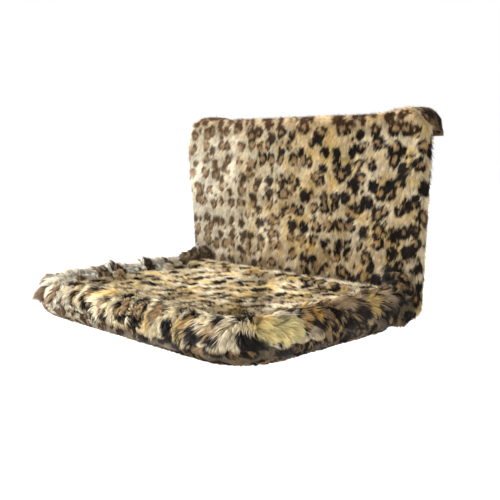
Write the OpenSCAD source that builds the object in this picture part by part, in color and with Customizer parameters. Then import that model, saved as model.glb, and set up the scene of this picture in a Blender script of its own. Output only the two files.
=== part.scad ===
// Plush sling bed that hangs on a radiator by two hooks.
// Origin: middle of the radiator's top front edge, under the hooks.
// +X to the right, +Y into the wall, +Z up; the seat reaches out along -Y.

/* [Bed] */
// Width over the rolled rim
seat_w = 460; // [400:2:520]
// Reach of the seat in front of the back
seat_reach = 310; // [260:2:350]
// Depth of the underside below the radiator's top
hang_depth = 260; // [230:2:300]
// Radius of the rim's front corners in plan
corner_r = 78; // [66:1:100]
// Diameter of the rolled rim
rim_d = 48; // [44:1:52]

/* [Back cover] */
// Thickness of the upholstered back
back_t = 28; // [27:0.5:36]
// Width of the back at the top
back_top_w = 464; // [456:2:500]
// Width of the back at the bottom
back_low_w = 440; // [438:1:452]
// Radius of the top corners
top_corner_r = 26; // [20:1:30]
// Radius of the bottom corners
low_corner_r = 16; // [12:1:20]
// Rounding of the front edge
front_edge_r = 9; // [5:0.5:11]
// Thickness of the plush over the tubes and hooks
plush_t = 4.5; // [3:0.1:5]
// Height that the fabric is lifted over each hook
hook_lift = 4.8; // [4:0.1:7]
// Length of the flap behind the hooks, down to its hem
flap_drop = 24; // [22:1:40]
// Thickness of the flap's plush
flap_t = 3.5; // [3:0.1:5]
// Thickness of the back's woven lining
lining_t = 2; // [1:0.1:2.4]
// Swell of the padded front in its middle
crown = 3; // [0:0.5:5]

/* [Frame] */
// Diameter of the steel tubes
tube_d = 12; // [10:0.5:12.5]
// Wall of the steel tubes
tube_wall = 1.2; // [0.8:0.1:2]
// Bend radius of the back's top corners at the tube's centre
rail_bend_r = 18; // [16:1:24]
// Length of the uprights below the lower rail's centre
foot_len = 7; // [6:0.5:8]
// Height of the lower rail's centre above the underside
lower_rail_rise = 17; // [16:0.5:20]

/* [Hooks] */
// Clear gap for the radiator's top
radiator_gap = 12; // [10:0.5:16]
// Width of each hook strip
hook_w = 22; // [16:1:28]
// Thickness of the hook strip
hook_t = 3; // [2:0.1:3.2]
// Distance of each hook's centre from the side tube's centre
hook_inset = 17; // [14:1:30]
// Depth of the hook's rear leg below the radiator's top
hook_drop = 20; // [14:1:21]
// Length of the hook's front leg below the radiator's top
hook_leg = 34; // [26:1:60]
// Inner bend radius of the strip
hook_bend_r = 2.5; // [2:0.1:4]
// Thickness of the vinyl pad inside the hook
pad_t = 1.2; // [1:0.1:2]

/* [Hinge] */
// Distance of the pivot in front of the back
pivot_front = 14; // [13.5:0.5:16]
// Height of the pivot above the rim's centre
pivot_rise = 4; // [3:0.5:6]
// Diameter of the pivot bolt
bolt_d = 6; // [5:0.5:6]
// Running clearance of the bolt in its bores, on the radius
bore_play = 0.05; // [0.03:0.01:0.1]
// Thickness of the bracket's steel
bracket_t = 2.5; // [2:0.1:3]
// Radius of the bracket's rounded cheeks
cheek_r = 10; // [8:0.5:12]
// Thickness of the seat arm's hinge lug
lug_t = 4; // [3:0.1:5]
// Thickness of each nylon spacer beside the lug
spacer_t = 1.9; // [1:0.1:2.4]
// Radius of the nylon spacers
spacer_r = 8; // [6:0.5:9]
// Radius of the plush pocket round the hinge
pocket_r = 22; // [21:0.5:23]

/* [Seat] */
// Thickness of the plush on the rim
rim_plush_t = 8; // [5:0.5:9]
// Thickness of the plush on the sleeping surface
surface_t = 6; // [4:0.5:7]
// Height of the rim above the edge of the sleeping surface
rim_stand = 10; // [8:0.5:12]
// Sag of the sleeping surface in the middle
sag = 8; // [4:0.5:10]
// Thickness of the cloth panel underneath
under_t = 2.5; // [1.5:0.1:3]
// Width of the hook-and-loop closure
closure_w = 25; // [15:1:30]
// Thickness of each half of the closure
closure_t = 1.2; // [0.8:0.1:1.3]
// Diameter of the rubber bumpers
bumper_d = 18; // [14:1:18]
// Distance of each bumper from the side tube's centre
bumper_inset = 58; // [30:1:120]

/* [Hidden] */
$fn = 48;

// Clearances and overruns
fit = 0.3;
seat_gap = 0.1;
cut = 1;
// Tubes
tube_r = tube_d / 2;
bore_r = tube_r - tube_wall;
side_x = seat_w / 2 - rim_d / 2;
back_y = -back_t / 2;
rail_z = pad_t - tube_r;
lower_rail_z = -hang_depth + lower_rail_rise;
foot_z = lower_rail_z - foot_len;
cap_t = 2;
cap_plug_len = 8;
cap_play = 0.1;
bumper_x = side_x - bumper_inset;
// Seat hoop
rim_r = rim_d / 2;
hoop_z = -hang_depth + rim_r;
front_y = -back_t - seat_reach;
hoop_y = front_y + rim_r;
hoop_bend_r = corner_r - rim_r;
bend_y = hoop_y + hoop_bend_r;
bend_x = side_x - hoop_bend_r;
// Hinge
pivot_y = -back_t - pivot_front;
pivot_z = hoop_z + pivot_rise;
bolt_r = bolt_d / 2;
hinge_bore_r = bolt_r + bore_play;
cheek_in = lug_t / 2 + spacer_t + 2 * bore_play;
cheek_out = cheek_in + bracket_t;
web_stand = 2;
web_front_y = back_y - tube_r - bracket_t;
web_half_h = cheek_r + web_stand;
head_h = 4;
head_af = 10;
nut_h = 5;
bolt_tail = 1;
tail_room = 2;
lug_r = cheek_r - bore_play;
arm_gap = 2;
arm_y = pivot_y - pocket_r - arm_gap;
lug_tail = 14;
lug_tail_h = sqrt(4 * bore_r * bore_r - lug_t * lug_t) - fit;
heel_wall = 2;
heel_top = bolt_r + heel_wall;
heel_h = 6;
// Plush pocket round the hinge
pocket_skin = 3;
pocket_foot = 5.5;
pocket_edge_r = 5;
pocket_shoulder = 6;
pocket_in_x = side_x - cheek_out - nut_h - bolt_tail - tail_room;
pocket_out_x = side_x + cheek_out + head_h + fit;
pocket_w0 = pocket_in_x - pocket_edge_r;
pocket_w1 = pocket_out_x + pocket_skin;
pocket_top = pivot_z + pocket_r - pocket_shoulder;
slit_play = 0.5;
slit_w = lug_t + 2 * slit_play;
// Hook strip
hook_x = side_x - hook_inset;
hook_front_y = back_y + tube_r;
hook_rear_y = radiator_gap + pad_t + hook_t;
hook_top_z = pad_t + hook_t;
// Back cover
cover_rear_y = -2;
cavity_skin = plush_t - fit;
cavity_front_y = back_y - tube_r - fit;
lining_set = 0.6;
lining_y = cover_rear_y - lining_set;
flap_in_y = hook_rear_y + fit;
flap_out_y = flap_in_y + flap_t;
top_z = pad_t + plush_t;
lift_run = 40;
rear_edge_r = 1.5;
arc_steps = 6;
edge_steps = 3;
crown_rings = 5;
// Seat soft parts
foam_r = rim_r - rim_plush_t - fit;
rim_end_r = 8;
rim_end_y = arm_y - 2 * fit;
end_wall = 3.4;
rear_rail_y = arm_y - tube_r - arm_gap;
rear_corner_r = 2.5;
edge_z = hoop_z + rim_r - rim_stand;
surface_low = rim_r - rim_stand - surface_t;
surface_in = sqrt(rim_r * rim_r - surface_low * surface_low) + fit;
roll_y = arm_y - fit;
surface_half = side_x - surface_in;
surface_front = hoop_y + surface_in;
surface_rear = roll_y - fit;
surface_y = (surface_rear + surface_front) / 2;
surface_reach = (surface_rear - surface_front) / 2;
roll_r = pivot_front - 2 * fit;
roll_play = 1.5;
roll_half = pocket_w0 - roll_play;
under_z = -hang_depth + 2 * (closure_t + seat_gap);
roll_low_z = under_z + under_t + fit;
pad_rear_y = rear_rail_y - tube_r - fit;
rings = 8;
plush = [0.80, 0.62, 0.36];
plush_dark = [0.62, 0.46, 0.25];
steel = [0.13, 0.13, 0.14];
zinc = [0.72, 0.73, 0.75];

// Points of an arc round a centre
function arc(c, r, a0, a1, n) =
  [for (i = [0:n]) let (a = a0 + (a1 - a0) * i / n) [c[0] + r * cos(a), c[1] + r * sin(a)]];

// Half-width of the back at a height
function back_half(z) =
  let (s = (z + hang_depth) / (hang_depth + top_z)) (back_low_w + (back_top_w - back_low_w) * s) / 2;

// Lift of the top edge over a hook, from 0 in the middle to 1 at the hooks
function lift_share(x) =
  let (s = min(1, max(0, (abs(x) - hook_x + hook_w / 2 + lift_run) / lift_run))) s * s * (3 - 2 * s);

// Points of the back's outline in x and z, inset by d
function back_outline(d) =
  let (
    low = -hang_depth + d,
    rt = top_corner_r - d,
    rl = low_corner_r - d,
    xt = back_half(0) - top_corner_r,
    xl = back_half(-hang_depth) - low_corner_r,
    ct = top_z + hook_lift - top_corner_r,
    cl = low + rl,
    span = [for (i = [1:13]) xt * (1 - i / 7)]
  )
  concat(
    arc([xl, cl], rl, -90, 0, arc_steps),
    arc([xt, ct], rt, 0, 90, arc_steps),
    [for (x = span) [x, top_z + hook_lift * lift_share(x) - d]],
    arc([-xt, ct], rt, 90, 180, arc_steps),
    arc([-xl, cl], rl, 180, 270, arc_steps)
  );

// Points of a round-cornered plan in x and y, wider radius at the front
function seat_plan(half, y_rear, y_front, rf, rr) =
  concat(
    arc([half - rr, y_rear - rr], rr, 0, 90, 3),
    [for (i = [1:9]) [(half - rr) * (1 - i / 5), y_rear]],
    arc([-half + rr, y_rear - rr], rr, 90, 180, 3),
    [for (i = [1:6]) [-half, y_rear - rr + (y_front + rf - y_rear + rr) * i / 7]],
    arc([-half + rf, y_front + rf], rf, 180, 270, 5),
    [for (i = [1:9]) [(-half + rf) * (1 - i / 5), y_front]],
    arc([half - rf, y_front + rf], rf, 270, 360, 5),
    [for (i = [1:6]) [half, y_front + rf + (y_rear - rr - y_front - rf) * i / 7]]
  );

// Depth of the sleeping surface below its edge
function dip(x, y) = sag * (1 - pow(x / surface_half, 2)) * (1 - pow((y - surface_y) / surface_reach, 2));

// Solid between two heights over one plan; the top dips in the middle, and the bottom may too
module dished(plan, z_top, z_low, low_dips) {
  n = len(plan);
  inner = [for (k = [1:rings]) for (p = plan)
    let (s = k / rings) [p[0] * s, surface_y + (p[1] - surface_y) * s]];
  top = [for (p = inner) [p[0], p[1], z_top - dip(p[0], p[1])]];
  low = [for (p = inner) [p[0], p[1], z_low - (low_dips ? dip(p[0], p[1]) : 0)]];
  top_mid = [0, surface_y, z_top - sag];
  low_mid = [0, surface_y, z_low - (low_dips ? sag : 0)];
  m = n * rings;
  edge = n * (rings - 1);
  polyhedron(
    points = concat(top, low, [top_mid, low_mid]),
    faces = concat(
      [for (i = [0:n - 1]) [2 * m, (i + 1) % n, i]],
      [for (k = [0:rings - 2]) for (i = [0:n - 1])
        let (a = k * n + i, b = k * n + (i + 1) % n) [a, b, b + n]],
      [for (k = [0:rings - 2]) for (i = [0:n - 1])
        let (a = k * n + i, b = k * n + (i + 1) % n) [a, b + n, a + n]],
      [for (i = [0:n - 1]) [2 * m + 1, m + i, m + (i + 1) % n]],
      [for (k = [0:rings - 2]) for (i = [0:n - 1])
        let (a = m + k * n + i, b = m + k * n + (i + 1) % n) [a, b + n, b]],
      [for (k = [0:rings - 2]) for (i = [0:n - 1])
        let (a = m + k * n + i, b = m + k * n + (i + 1) % n) [a, a + n, b + n]],
      [for (i = [0:n - 1]) let (j = (i + 1) % n) [edge + i, edge + j, m + edge + j]],
      [for (i = [0:n - 1]) let (j = (i + 1) % n) [edge + i, m + edge + j, m + edge + i]]
    )
  );
}

// Swell of the back's front at a place, none at its edges or as low as the rear roll
function swell(x, z) =
  let (
    low = pivot_z + roll_r,
    mid = (top_z + low) / 2,
    half = (top_z - low) / 2
  )
  crown * max(0, 1 - pow(x / back_half(z), 2)) * max(0, 1 - pow((z - mid) / half, 2));

// Solid through outlines at given depths, with a swollen front and a flat rear
module stacked(ys, insets) {
  mid_z = (top_z - hang_depth) / 2;
  front = back_outline(insets[0]);
  crowned = [for (k = [1:crown_rings]) for (p = front)
    let (s = k / (crown_rings + 1), x = p[0] * s, z = mid_z + (p[1] - mid_z) * s)
      [x, ys[0] - swell(x, z), z]];
  outer = [for (k = [0:len(ys) - 1]) for (p = back_outline(insets[k])) [p[0], ys[k], p[1]]];
  n = len(front);
  levels = crown_rings + len(ys);
  count = levels * n;
  last = count - n;
  polyhedron(
    points = concat(
      crowned, outer,
      [[0, ys[0] - swell(0, mid_z), mid_z], [0, ys[len(ys) - 1], mid_z]]
    ),
    faces = concat(
      [for (i = [0:n - 1]) [count, (i + 1) % n, i]],
      [for (k = [0:levels - 2]) for (i = [0:n - 1])
        let (a = k * n + i, b = k * n + (i + 1) % n) [a, b, b + n]],
      [for (k = [0:levels - 2]) for (i = [0:n - 1])
        let (a = k * n + i, b = k * n + (i + 1) % n) [a, b + n, a + n]],
      [for (i = [0:n - 1]) [count + 1, last + i, last + (i + 1) % n]]
    )
  );
}

// Profile in y and z, drawn out along x round a centre
module across(x, w) {
  translate([x - w / 2, 0, 0]) rotate([90, 0, 90]) linear_extrude(w) children();
}

// Profile in x and z, drawn out along y between two depths
module through(y0, y1) {
  translate([0, y1, 0]) rotate([90, 0, 0]) linear_extrude(y1 - y0) children();
}

// Tube along z, x or y
module tube_z(r, z0, z1) {
  translate([0, 0, z0]) cylinder(h = z1 - z0, r = r);
}
module tube_x(r, x0, x1) {
  translate([x0, 0, 0]) rotate([0, 90, 0]) cylinder(h = x1 - x0, r = r);
}
module tube_y(r, y0, y1) {
  translate([0, y1, 0]) rotate([90, 0, 0]) cylinder(h = y1 - y0, r = r);
}

// Box between two corners
module span_box(a, b) {
  translate(a) cube(b - a);
}

// Arch open downwards, with round top corners
module arch(y0, y1, z0, z1, r) {
  translate([y0, z0]) square([y1 - y0, z1 - r - z0]);
  translate([y0 + r, z0]) square([y1 - y0 - 2 * r, z1 - z0]);
  translate([y0 + r, z1 - r]) circle(r);
  translate([y1 - r, z1 - r]) circle(r);
}

// Both sides: the child and its mirror image
module both() {
  children();
  mirror([1, 0, 0]) children();
}

module upright() {
  difference() {
    translate([side_x, back_y, 0]) tube_z(tube_r, foot_z, rail_z - rail_bend_r);
    translate([side_x, back_y, 0]) tube_z(bore_r, foot_z - cut, rail_z - rail_bend_r + cut);
  }
}
module right_upright() {
  color(steel) upright();
}
module left_upright() {
  color(steel) mirror([1, 0, 0]) upright();
}

// Quarter bend of a tube, from the direction of +X to that of +Z
module bend_tube(r, r_out, r_in) {
  rotate_extrude(angle = 90) translate([r, 0]) difference() {
    circle(r_out);
    circle(r_in);
  }
}
module top_rail() {
  half = side_x - rail_bend_r;
  color(steel) {
    difference() {
      translate([0, back_y, rail_z]) tube_x(tube_r, -half, half);
      translate([0, back_y, rail_z]) tube_x(bore_r, -half - cut, half + cut);
    }
    both() translate([half, back_y, rail_z - rail_bend_r]) rotate([90, 0, 0])
      bend_tube(rail_bend_r, tube_r, bore_r);
  }
}

// Cross rail with its ends coped round the side tubes
module cross_rail(y, z) {
  difference() {
    translate([0, y, z]) tube_x(tube_r, -side_x, side_x);
    translate([0, y, z]) tube_x(bore_r, -side_x - cut, side_x + cut);
    children();
  }
}
module lower_rail() {
  color(steel) cross_rail(back_y, lower_rail_z)
    both() translate([side_x, back_y, 0]) tube_z(tube_r, foot_z - rim_r, rail_z);
}
module foot_caps() {
  color([0.08, 0.08, 0.08]) both() translate([side_x, back_y, 0]) {
    tube_z(tube_r, foot_z - cap_t, foot_z);
    tube_z(bore_r - cap_play, foot_z - cap_t / 2, foot_z + cap_plug_len);
  }
}

// Bent flat strip that hooks over the radiator
module hook() {
  across(hook_x, hook_w) difference() {
    arch(hook_front_y, hook_rear_y, -hook_leg, hook_top_z, hook_bend_r + hook_t);
    arch(hook_front_y + hook_t, hook_rear_y - hook_t, -hook_leg - cut, pad_t, hook_bend_r);
    translate([hook_rear_y - hook_t - cut, -hook_leg - cut])
      square([hook_t + 2 * cut, hook_leg + cut - hook_drop]);
  }
}
module right_hook() {
  color(zinc) hook();
}
module left_hook() {
  color(zinc) mirror([1, 0, 0]) hook();
}

// Vinyl pad that lines the hook where it bears on the radiator
module hook_pad() {
  across(hook_x, hook_w) difference() {
    arch(hook_front_y + hook_t, hook_rear_y - hook_t, -hook_drop, pad_t, hook_bend_r);
    arch(hook_front_y, radiator_gap, -hook_drop - cut, 0, hook_bend_r - pad_t);
    translate([hook_front_y - cut, -hook_drop - cut])
      square([-hook_front_y + cut, hook_drop + pad_t + 2 * cut]);
  }
}
module right_hook_pad() {
  color([0.2, 0.2, 0.2]) hook_pad();
}
module left_hook_pad() {
  color([0.2, 0.2, 0.2]) mirror([1, 0, 0]) hook_pad();
}

// Channel bracket welded to the front of an upright, with a cheek each side of the lug
module hinge_bracket() {
  difference() {
    across(side_x, 2 * cheek_out) {
      translate([pivot_y, pivot_z]) circle(cheek_r);
      translate([pivot_y, pivot_z - cheek_r]) square([web_front_y + bracket_t - pivot_y, 2 * cheek_r]);
      translate([web_front_y, pivot_z - web_half_h]) square([bracket_t, 2 * web_half_h]);
    }
    translate([side_x, pivot_y, pivot_z]) tube_x(hinge_bore_r, -cheek_out - cut, cheek_out + cut);
    span_box(
      [side_x - cheek_in, pivot_y - cheek_r - cut, pivot_z - web_half_h - cut],
      [side_x + cheek_in, web_front_y, pivot_z + web_half_h + cut]
    );
  }
}
module right_hinge_bracket() {
  color(steel) hinge_bracket();
}
module left_hinge_bracket() {
  color(steel) mirror([1, 0, 0]) hinge_bracket();
}

// Hexagonal bar along x
module hex_x(af, x0, x1) {
  translate([x0, 0, 0]) rotate([0, 90, 0]) cylinder(h = x1 - x0, d = af / cos(30), $fn = 6);
}
module pivot_bolts() {
  color(zinc) both() translate([side_x, pivot_y, pivot_z]) {
    tube_x(bolt_r, -cheek_out - nut_h - bolt_tail, cheek_out + head_h / 2);
    hex_x(head_af, cheek_out, cheek_out + head_h);
  }
}
module pivot_nuts() {
  color(zinc) both() translate([side_x, pivot_y, pivot_z]) difference() {
    hex_x(head_af, -cheek_out - nut_h, -cheek_out);
    tube_x(bolt_r, -cheek_out - nut_h - cut, -cheek_out + cut);
  }
}
module pivot_spacers() {
  color([0.92, 0.92, 0.9]) both() translate([side_x, pivot_y, pivot_z]) difference() {
    union() {
      tube_x(spacer_r, -cheek_in, -cheek_in + spacer_t);
      tube_x(spacer_r, cheek_in - spacer_t, cheek_in);
    }
    tube_x(hinge_bore_r, -cheek_in - cut, cheek_in + cut);
  }
}

// Rubber buffer that clips on the lower rail and bears on the radiator
module bumper() {
  difference() {
    translate([bumper_x, 0, lower_rail_z]) tube_y(bumper_d / 2, back_y, 0);
    translate([0, back_y, lower_rail_z]) tube_x(tube_r + bore_play, 0, side_x);
  }
}
module right_bumper() {
  color([0.1, 0.1, 0.1]) bumper();
}
module left_bumper() {
  color([0.1, 0.1, 0.1]) mirror([1, 0, 0]) bumper();
}

// Points of a panel in x and z with round top corners
function round_top(half, low, high, r) =
  concat(
    [[-half, low], [half, low]],
    arc([half - r, high - r], r, 0, 90, 2 * arc_steps),
    arc([-half + r, high - r], r, 90, 180, 2 * arc_steps)
  );
// Wadding between the tubes of the back
module back_padding() {
  half = side_x - tube_r - fit;
  low = lower_rail_z + bumper_d / 2 + fit;
  high = rail_z - tube_r - fit;
  color([0.93, 0.92, 0.88]) through(back_y - tube_r, back_y + tube_r - fit)
    polygon(round_top(half, low, high, rail_bend_r - tube_r));
}

// Plush cover of the back, open behind for the lining and in front for the hinges
module back_cover() {
  turns = [for (i = [0:edge_steps]) 90 * i / edge_steps];
  color(plush) difference() {
    stacked(
      concat(
        [for (a = turns) -back_t + front_edge_r * (1 - cos(a))],
        [cover_rear_y - rear_edge_r, cover_rear_y]
      ),
      concat([for (a = turns) front_edge_r * (1 - sin(a))], [0, rear_edge_r])
    );
    through(cavity_front_y, cut) polygon(back_outline(cavity_skin));
    both() hinge_window();
  }
}
// Space where a hinge bracket passes through the cover's front
module hinge_window() {
  span_box(
    [pocket_in_x, -back_t - cut, -hang_depth + pocket_foot],
    [pocket_out_x, cavity_front_y + cut, pocket_top - pocket_skin]
  );
}

// Woven panel that closes the back behind
module back_lining() {
  color([0.25, 0.22, 0.19]) difference() {
    through(lining_y - lining_t, lining_y) difference() {
      polygon(back_outline(plush_t));
      translate([-seat_w, pad_t - hook_bend_r - fit]) square([2 * seat_w, hang_depth]);
    }
    both() translate([bumper_x, 0, lower_rail_z])
      tube_y(bumper_d / 2 + fit, lining_y - lining_t - cut, lining_y + cut);
  }
}

// Plush flap that goes over the hooks and hangs behind the radiator's top
module hook_flap() {
  color(plush_dark) difference() {
    through(cover_rear_y, flap_out_y) polygon(back_outline(0));
    through(cover_rear_y - cut, flap_in_y) polygon(back_outline(plush_t));
    span_box(
      [-seat_w, cover_rear_y - cut, -2 * hang_depth],
      [seat_w, flap_out_y + cut, -flap_drop]
    );
    span_box([-seat_w, cover_rear_y - cut, -2 * hang_depth], [seat_w, flap_in_y, 0]);
  }
}

// Disc with a rounded edge, its axis along x
module soft_disc(r, edge_r, x0, x1) {
  translate([x0, 0, 0]) rotate([0, 90, 0]) rotate_extrude($fn = 32) {
    translate([0, edge_r]) square([r, x1 - x0 - 2 * edge_r]);
    square([r - edge_r, x1 - x0]);
    translate([r - edge_r, edge_r]) circle(edge_r, $fn = 24);
    translate([r - edge_r, x1 - x0 - edge_r]) circle(edge_r, $fn = 24);
  }
}
// Gathered corner of the cover, sewn round the hinge, with a slit for the lug
module hinge_pocket() {
  cavity_mid = (pocket_in_x + pocket_out_x) / 2;
  foot_y = pivot_y - pocket_skin * 2;
  cavity_y = foot_y - pocket_edge_r + pocket_skin;
  difference() {
    hull() {
      translate([0, pivot_y, pivot_z]) soft_disc(pocket_r, pocket_edge_r, pocket_w0, pocket_w1);
      for (x = [pocket_w0 + pocket_edge_r, pocket_w1 - pocket_edge_r])
        for (y = [foot_y, -back_t - pocket_edge_r])
          translate([x, y, -hang_depth + pocket_edge_r]) sphere(pocket_edge_r, $fn = 24);
      translate([pocket_w0, -back_t - cut, -hang_depth + pocket_edge_r])
        cube([pocket_w1 - pocket_w0, cut, pocket_top + hang_depth - pocket_edge_r]);
    }
    across(cavity_mid, pocket_out_x - pocket_in_x) {
      translate([pivot_y, pivot_z]) circle(pocket_r - pocket_skin);
      translate([cavity_y, -hang_depth + pocket_foot])
        square([-back_t + cut - cavity_y, pocket_top - pocket_skin + hang_depth - pocket_foot]);
    }
    span_box(
      [side_x - slit_w / 2, arm_y - cut, hoop_z - tube_r - pocket_skin],
      [side_x + slit_w / 2, pivot_y + pocket_skin, pivot_z + pocket_r + cut]
    );
    span_box([pocket_w0 - cut, -back_t, -2 * hang_depth], [pocket_w1 + cut, 0, 0]);
  }
}
module right_hinge_pocket() {
  color(plush_dark) hinge_pocket();
}
module left_hinge_pocket() {
  color(plush_dark) mirror([1, 0, 0]) hinge_pocket();
}

module seat_arm() {
  difference() {
    translate([side_x, 0, hoop_z]) tube_y(tube_r, bend_y, arm_y);
    translate([side_x, 0, hoop_z]) tube_y(bore_r, bend_y - cut, arm_y + cut);
  }
}
module right_seat_arm() {
  color(steel) seat_arm();
}
module left_seat_arm() {
  color(steel) mirror([1, 0, 0]) seat_arm();
}

// Solid quarter bend in the seat's plane, for a sleeve or the space inside it
module seat_bend(r) {
  translate([bend_x, bend_y, hoop_z])
    rotate([0, 0, -90]) rotate_extrude(angle = 90) translate([hoop_bend_r, 0]) circle(r);
}
module front_hoop() {
  color(steel) {
    difference() {
      translate([0, hoop_y, hoop_z]) tube_x(tube_r, -bend_x, bend_x);
      translate([0, hoop_y, hoop_z]) tube_x(bore_r, -bend_x - cut, bend_x + cut);
    }
    both() translate([bend_x, bend_y, hoop_z]) rotate([0, 0, -90])
      bend_tube(hoop_bend_r, tube_r, bore_r);
  }
}
module seat_rear_rail() {
  color(steel) cross_rail(rear_rail_y, hoop_z)
    both() translate([side_x, 0, hoop_z]) tube_y(tube_r, bend_y, pivot_y);
}

// Plate pressed in the arm's end, with the pivot bore and a heel that stops the seat level
module hinge_lug() {
  difference() {
    across(side_x, lug_t) {
      translate([pivot_y, pivot_z]) circle(lug_r);
      translate([arm_y, hoop_z - tube_r]) square([pivot_y - arm_y, tube_d]);
      translate([arm_y - lug_tail, hoop_z - lug_tail_h / 2]) square([lug_tail + cut, lug_tail_h]);
      translate([pivot_y, pivot_z - heel_top - heel_h])
        square([web_front_y - seat_gap - pivot_y, heel_h]);
    }
    translate([side_x, pivot_y, pivot_z]) tube_x(hinge_bore_r, -lug_t, lug_t);
  }
}
module right_hinge_lug() {
  color(zinc) hinge_lug();
}
module left_hinge_lug() {
  color(zinc) mirror([1, 0, 0]) hinge_lug();
}

// Sleeve of one radius round the arms and the front hoop, from the front to y
module hoop_sleeve(r, y) {
  translate([0, hoop_y, hoop_z]) tube_x(r, -bend_x, bend_x);
  both() seat_bend(r);
  both() translate([side_x, 0, hoop_z]) tube_y(r, bend_y, y);
}
module rim_foam() {
  color([0.35, 0.35, 0.37]) difference() {
    hoop_sleeve(foam_r, rim_end_y - end_wall - fit);
    hoop_sleeve(tube_r + fit, rim_end_y);
    translate([0, rear_rail_y, hoop_z]) tube_x(tube_r + fit, -side_x, side_x);
  }
}
// Plush roll of the rim, round the foam, with closed and rounded rear ends
module rim_cover() {
  flat_r = rim_r - rim_end_r;
  color(plush) difference() {
    union() {
      hoop_sleeve(rim_r, rim_end_y - rim_end_r);
      both() translate([side_x, rim_end_y - rim_end_r, hoop_z]) rotate([-90, 0, 0])
        rotate_extrude() {
          square([flat_r, rim_end_r]);
          intersection() {
            translate([flat_r, 0]) circle(rim_end_r);
            translate([flat_r, 0]) square([rim_end_r, rim_end_r]);
          }
        }
    }
    hoop_sleeve(foam_r + fit, rim_end_y - end_wall);
    both() translate([side_x, 0, hoop_z]) tube_y(tube_r + fit, bend_y, rim_end_y + cut);
    translate([0, rear_rail_y, hoop_z]) tube_x(tube_r + fit, -side_x, side_x);
  }
}

// Plush sleeping surface, slung between the rim and the rear rail
module sleeping_surface() {
  color(plush) dished(
    seat_plan(surface_half, surface_rear, surface_front, hoop_bend_r - surface_in, rear_corner_r),
    edge_z, edge_z - surface_t, true
  );
}
// Stuffed rear edge of the seat, rounded about the hinge so that it clears the back
module rear_roll() {
  color(plush) across(0, 2 * roll_half) {
    translate([pivot_y, pivot_z]) circle(roll_r);
    translate([pivot_y, roll_low_z + roll_r]) circle(roll_r);
    translate([pivot_y, roll_low_z + roll_r]) square([roll_r, pivot_z - roll_low_z - roll_r]);
    translate([roll_y, roll_low_z]) square([pivot_y - roll_y, pivot_z + roll_r - roll_low_z]);
  }
}
// Wadding between the sleeping surface and the underside
module seat_pad() {
  inset = rim_r + fit;
  color([0.93, 0.92, 0.88]) dished(
    seat_plan(side_x - inset, pad_rear_y, hoop_y + inset, hoop_bend_r - inset, rear_corner_r),
    edge_z - surface_t - fit, roll_low_z, false
  );
}
// Flat panel with round front corners under the seat
module under_plate(half, y0, y1, r, z, t) {
  translate([0, 0, z]) linear_extrude(t) {
    translate([-half, y0 + r]) square([2 * half, y1 - y0 - r]);
    translate([-half + r, y0]) square([2 * (half - r), y1 - y0]);
    both() translate([half - r, y0 + r]) circle(r);
  }
}
module underside_panel() {
  drop = hoop_z - under_z - under_t;
  inset = sqrt(rim_r * rim_r - drop * drop) + fit;
  color([0.32, 0.26, 0.18]) difference() {
    under_plate(side_x - inset, hoop_y + inset, roll_y, hoop_bend_r - inset, under_z, under_t);
    both() span_box(
      [roll_half, rear_rail_y, under_z - cut],
      [side_x, roll_y + cut, under_z + under_t + cut]
    );
  }
  color([0.32, 0.26, 0.18]) span_box(
    [-roll_half, roll_y - cut, under_z],
    [roll_half, pivot_y, under_z + under_t]
  );
}
// Tape sewn to the underside, and its mate on the flap that closes over it
module tape(z) {
  half = side_x - rim_d;
  span_box(
    [-half, rear_rail_y - closure_w / 2, z - closure_t],
    [half, rear_rail_y + closure_w / 2, z]
  );
}
module closure_loop_tape() {
  color([0.06, 0.06, 0.06]) tape(under_z);
}
module closure_hook_tape() {
  color([0.1, 0.1, 0.1]) tape(under_z - closure_t);
}

left_upright();
right_upright();
top_rail();
lower_rail();
foot_caps();
left_hook();
right_hook();
left_hook_pad();
right_hook_pad();
left_hinge_bracket();
right_hinge_bracket();
pivot_bolts();
pivot_nuts();
pivot_spacers();
left_bumper();
right_bumper();
back_padding();
back_cover();
back_lining();
hook_flap();
left_hinge_pocket();
right_hinge_pocket();
left_seat_arm();
right_seat_arm();
front_hoop();
seat_rear_rail();
left_hinge_lug();
right_hinge_lug();
rim_foam();
rim_cover();
sleeping_surface();
rear_roll();
seat_pad();
underside_panel();
closure_loop_tape();
closure_hook_tape();
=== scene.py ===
import math

import bpy
import numpy as np
from mathutils import Matrix, Vector
from mathutils.kdtree import KDTree


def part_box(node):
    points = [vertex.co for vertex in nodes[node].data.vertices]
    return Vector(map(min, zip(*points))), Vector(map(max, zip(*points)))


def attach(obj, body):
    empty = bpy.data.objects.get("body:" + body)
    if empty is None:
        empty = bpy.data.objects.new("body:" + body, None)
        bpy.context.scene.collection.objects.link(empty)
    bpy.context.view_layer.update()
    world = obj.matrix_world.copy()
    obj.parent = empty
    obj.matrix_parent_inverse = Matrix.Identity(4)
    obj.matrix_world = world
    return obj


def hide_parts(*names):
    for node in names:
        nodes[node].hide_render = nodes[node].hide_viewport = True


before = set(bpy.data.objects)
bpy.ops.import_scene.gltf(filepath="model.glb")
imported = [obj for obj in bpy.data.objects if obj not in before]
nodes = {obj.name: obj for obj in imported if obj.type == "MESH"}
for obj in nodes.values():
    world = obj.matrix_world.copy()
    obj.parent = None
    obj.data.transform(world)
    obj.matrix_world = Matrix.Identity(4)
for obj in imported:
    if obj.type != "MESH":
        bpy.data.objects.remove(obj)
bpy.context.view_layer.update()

# Sizes read from the frame, in metres
BACK_LOW, BACK_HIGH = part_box("back_cover")
FLAP_LOW, FLAP_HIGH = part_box("hook_flap")
RIM_LOW, RIM_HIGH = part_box("rim_cover")
SURFACE_LOW, SURFACE_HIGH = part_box("sleeping_surface")
LINING_LOW, LINING_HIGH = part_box("back_lining")
POCKET_LOW, POCKET_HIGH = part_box("right_hinge_pocket")
HOOP_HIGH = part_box("front_hoop")[1]
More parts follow.
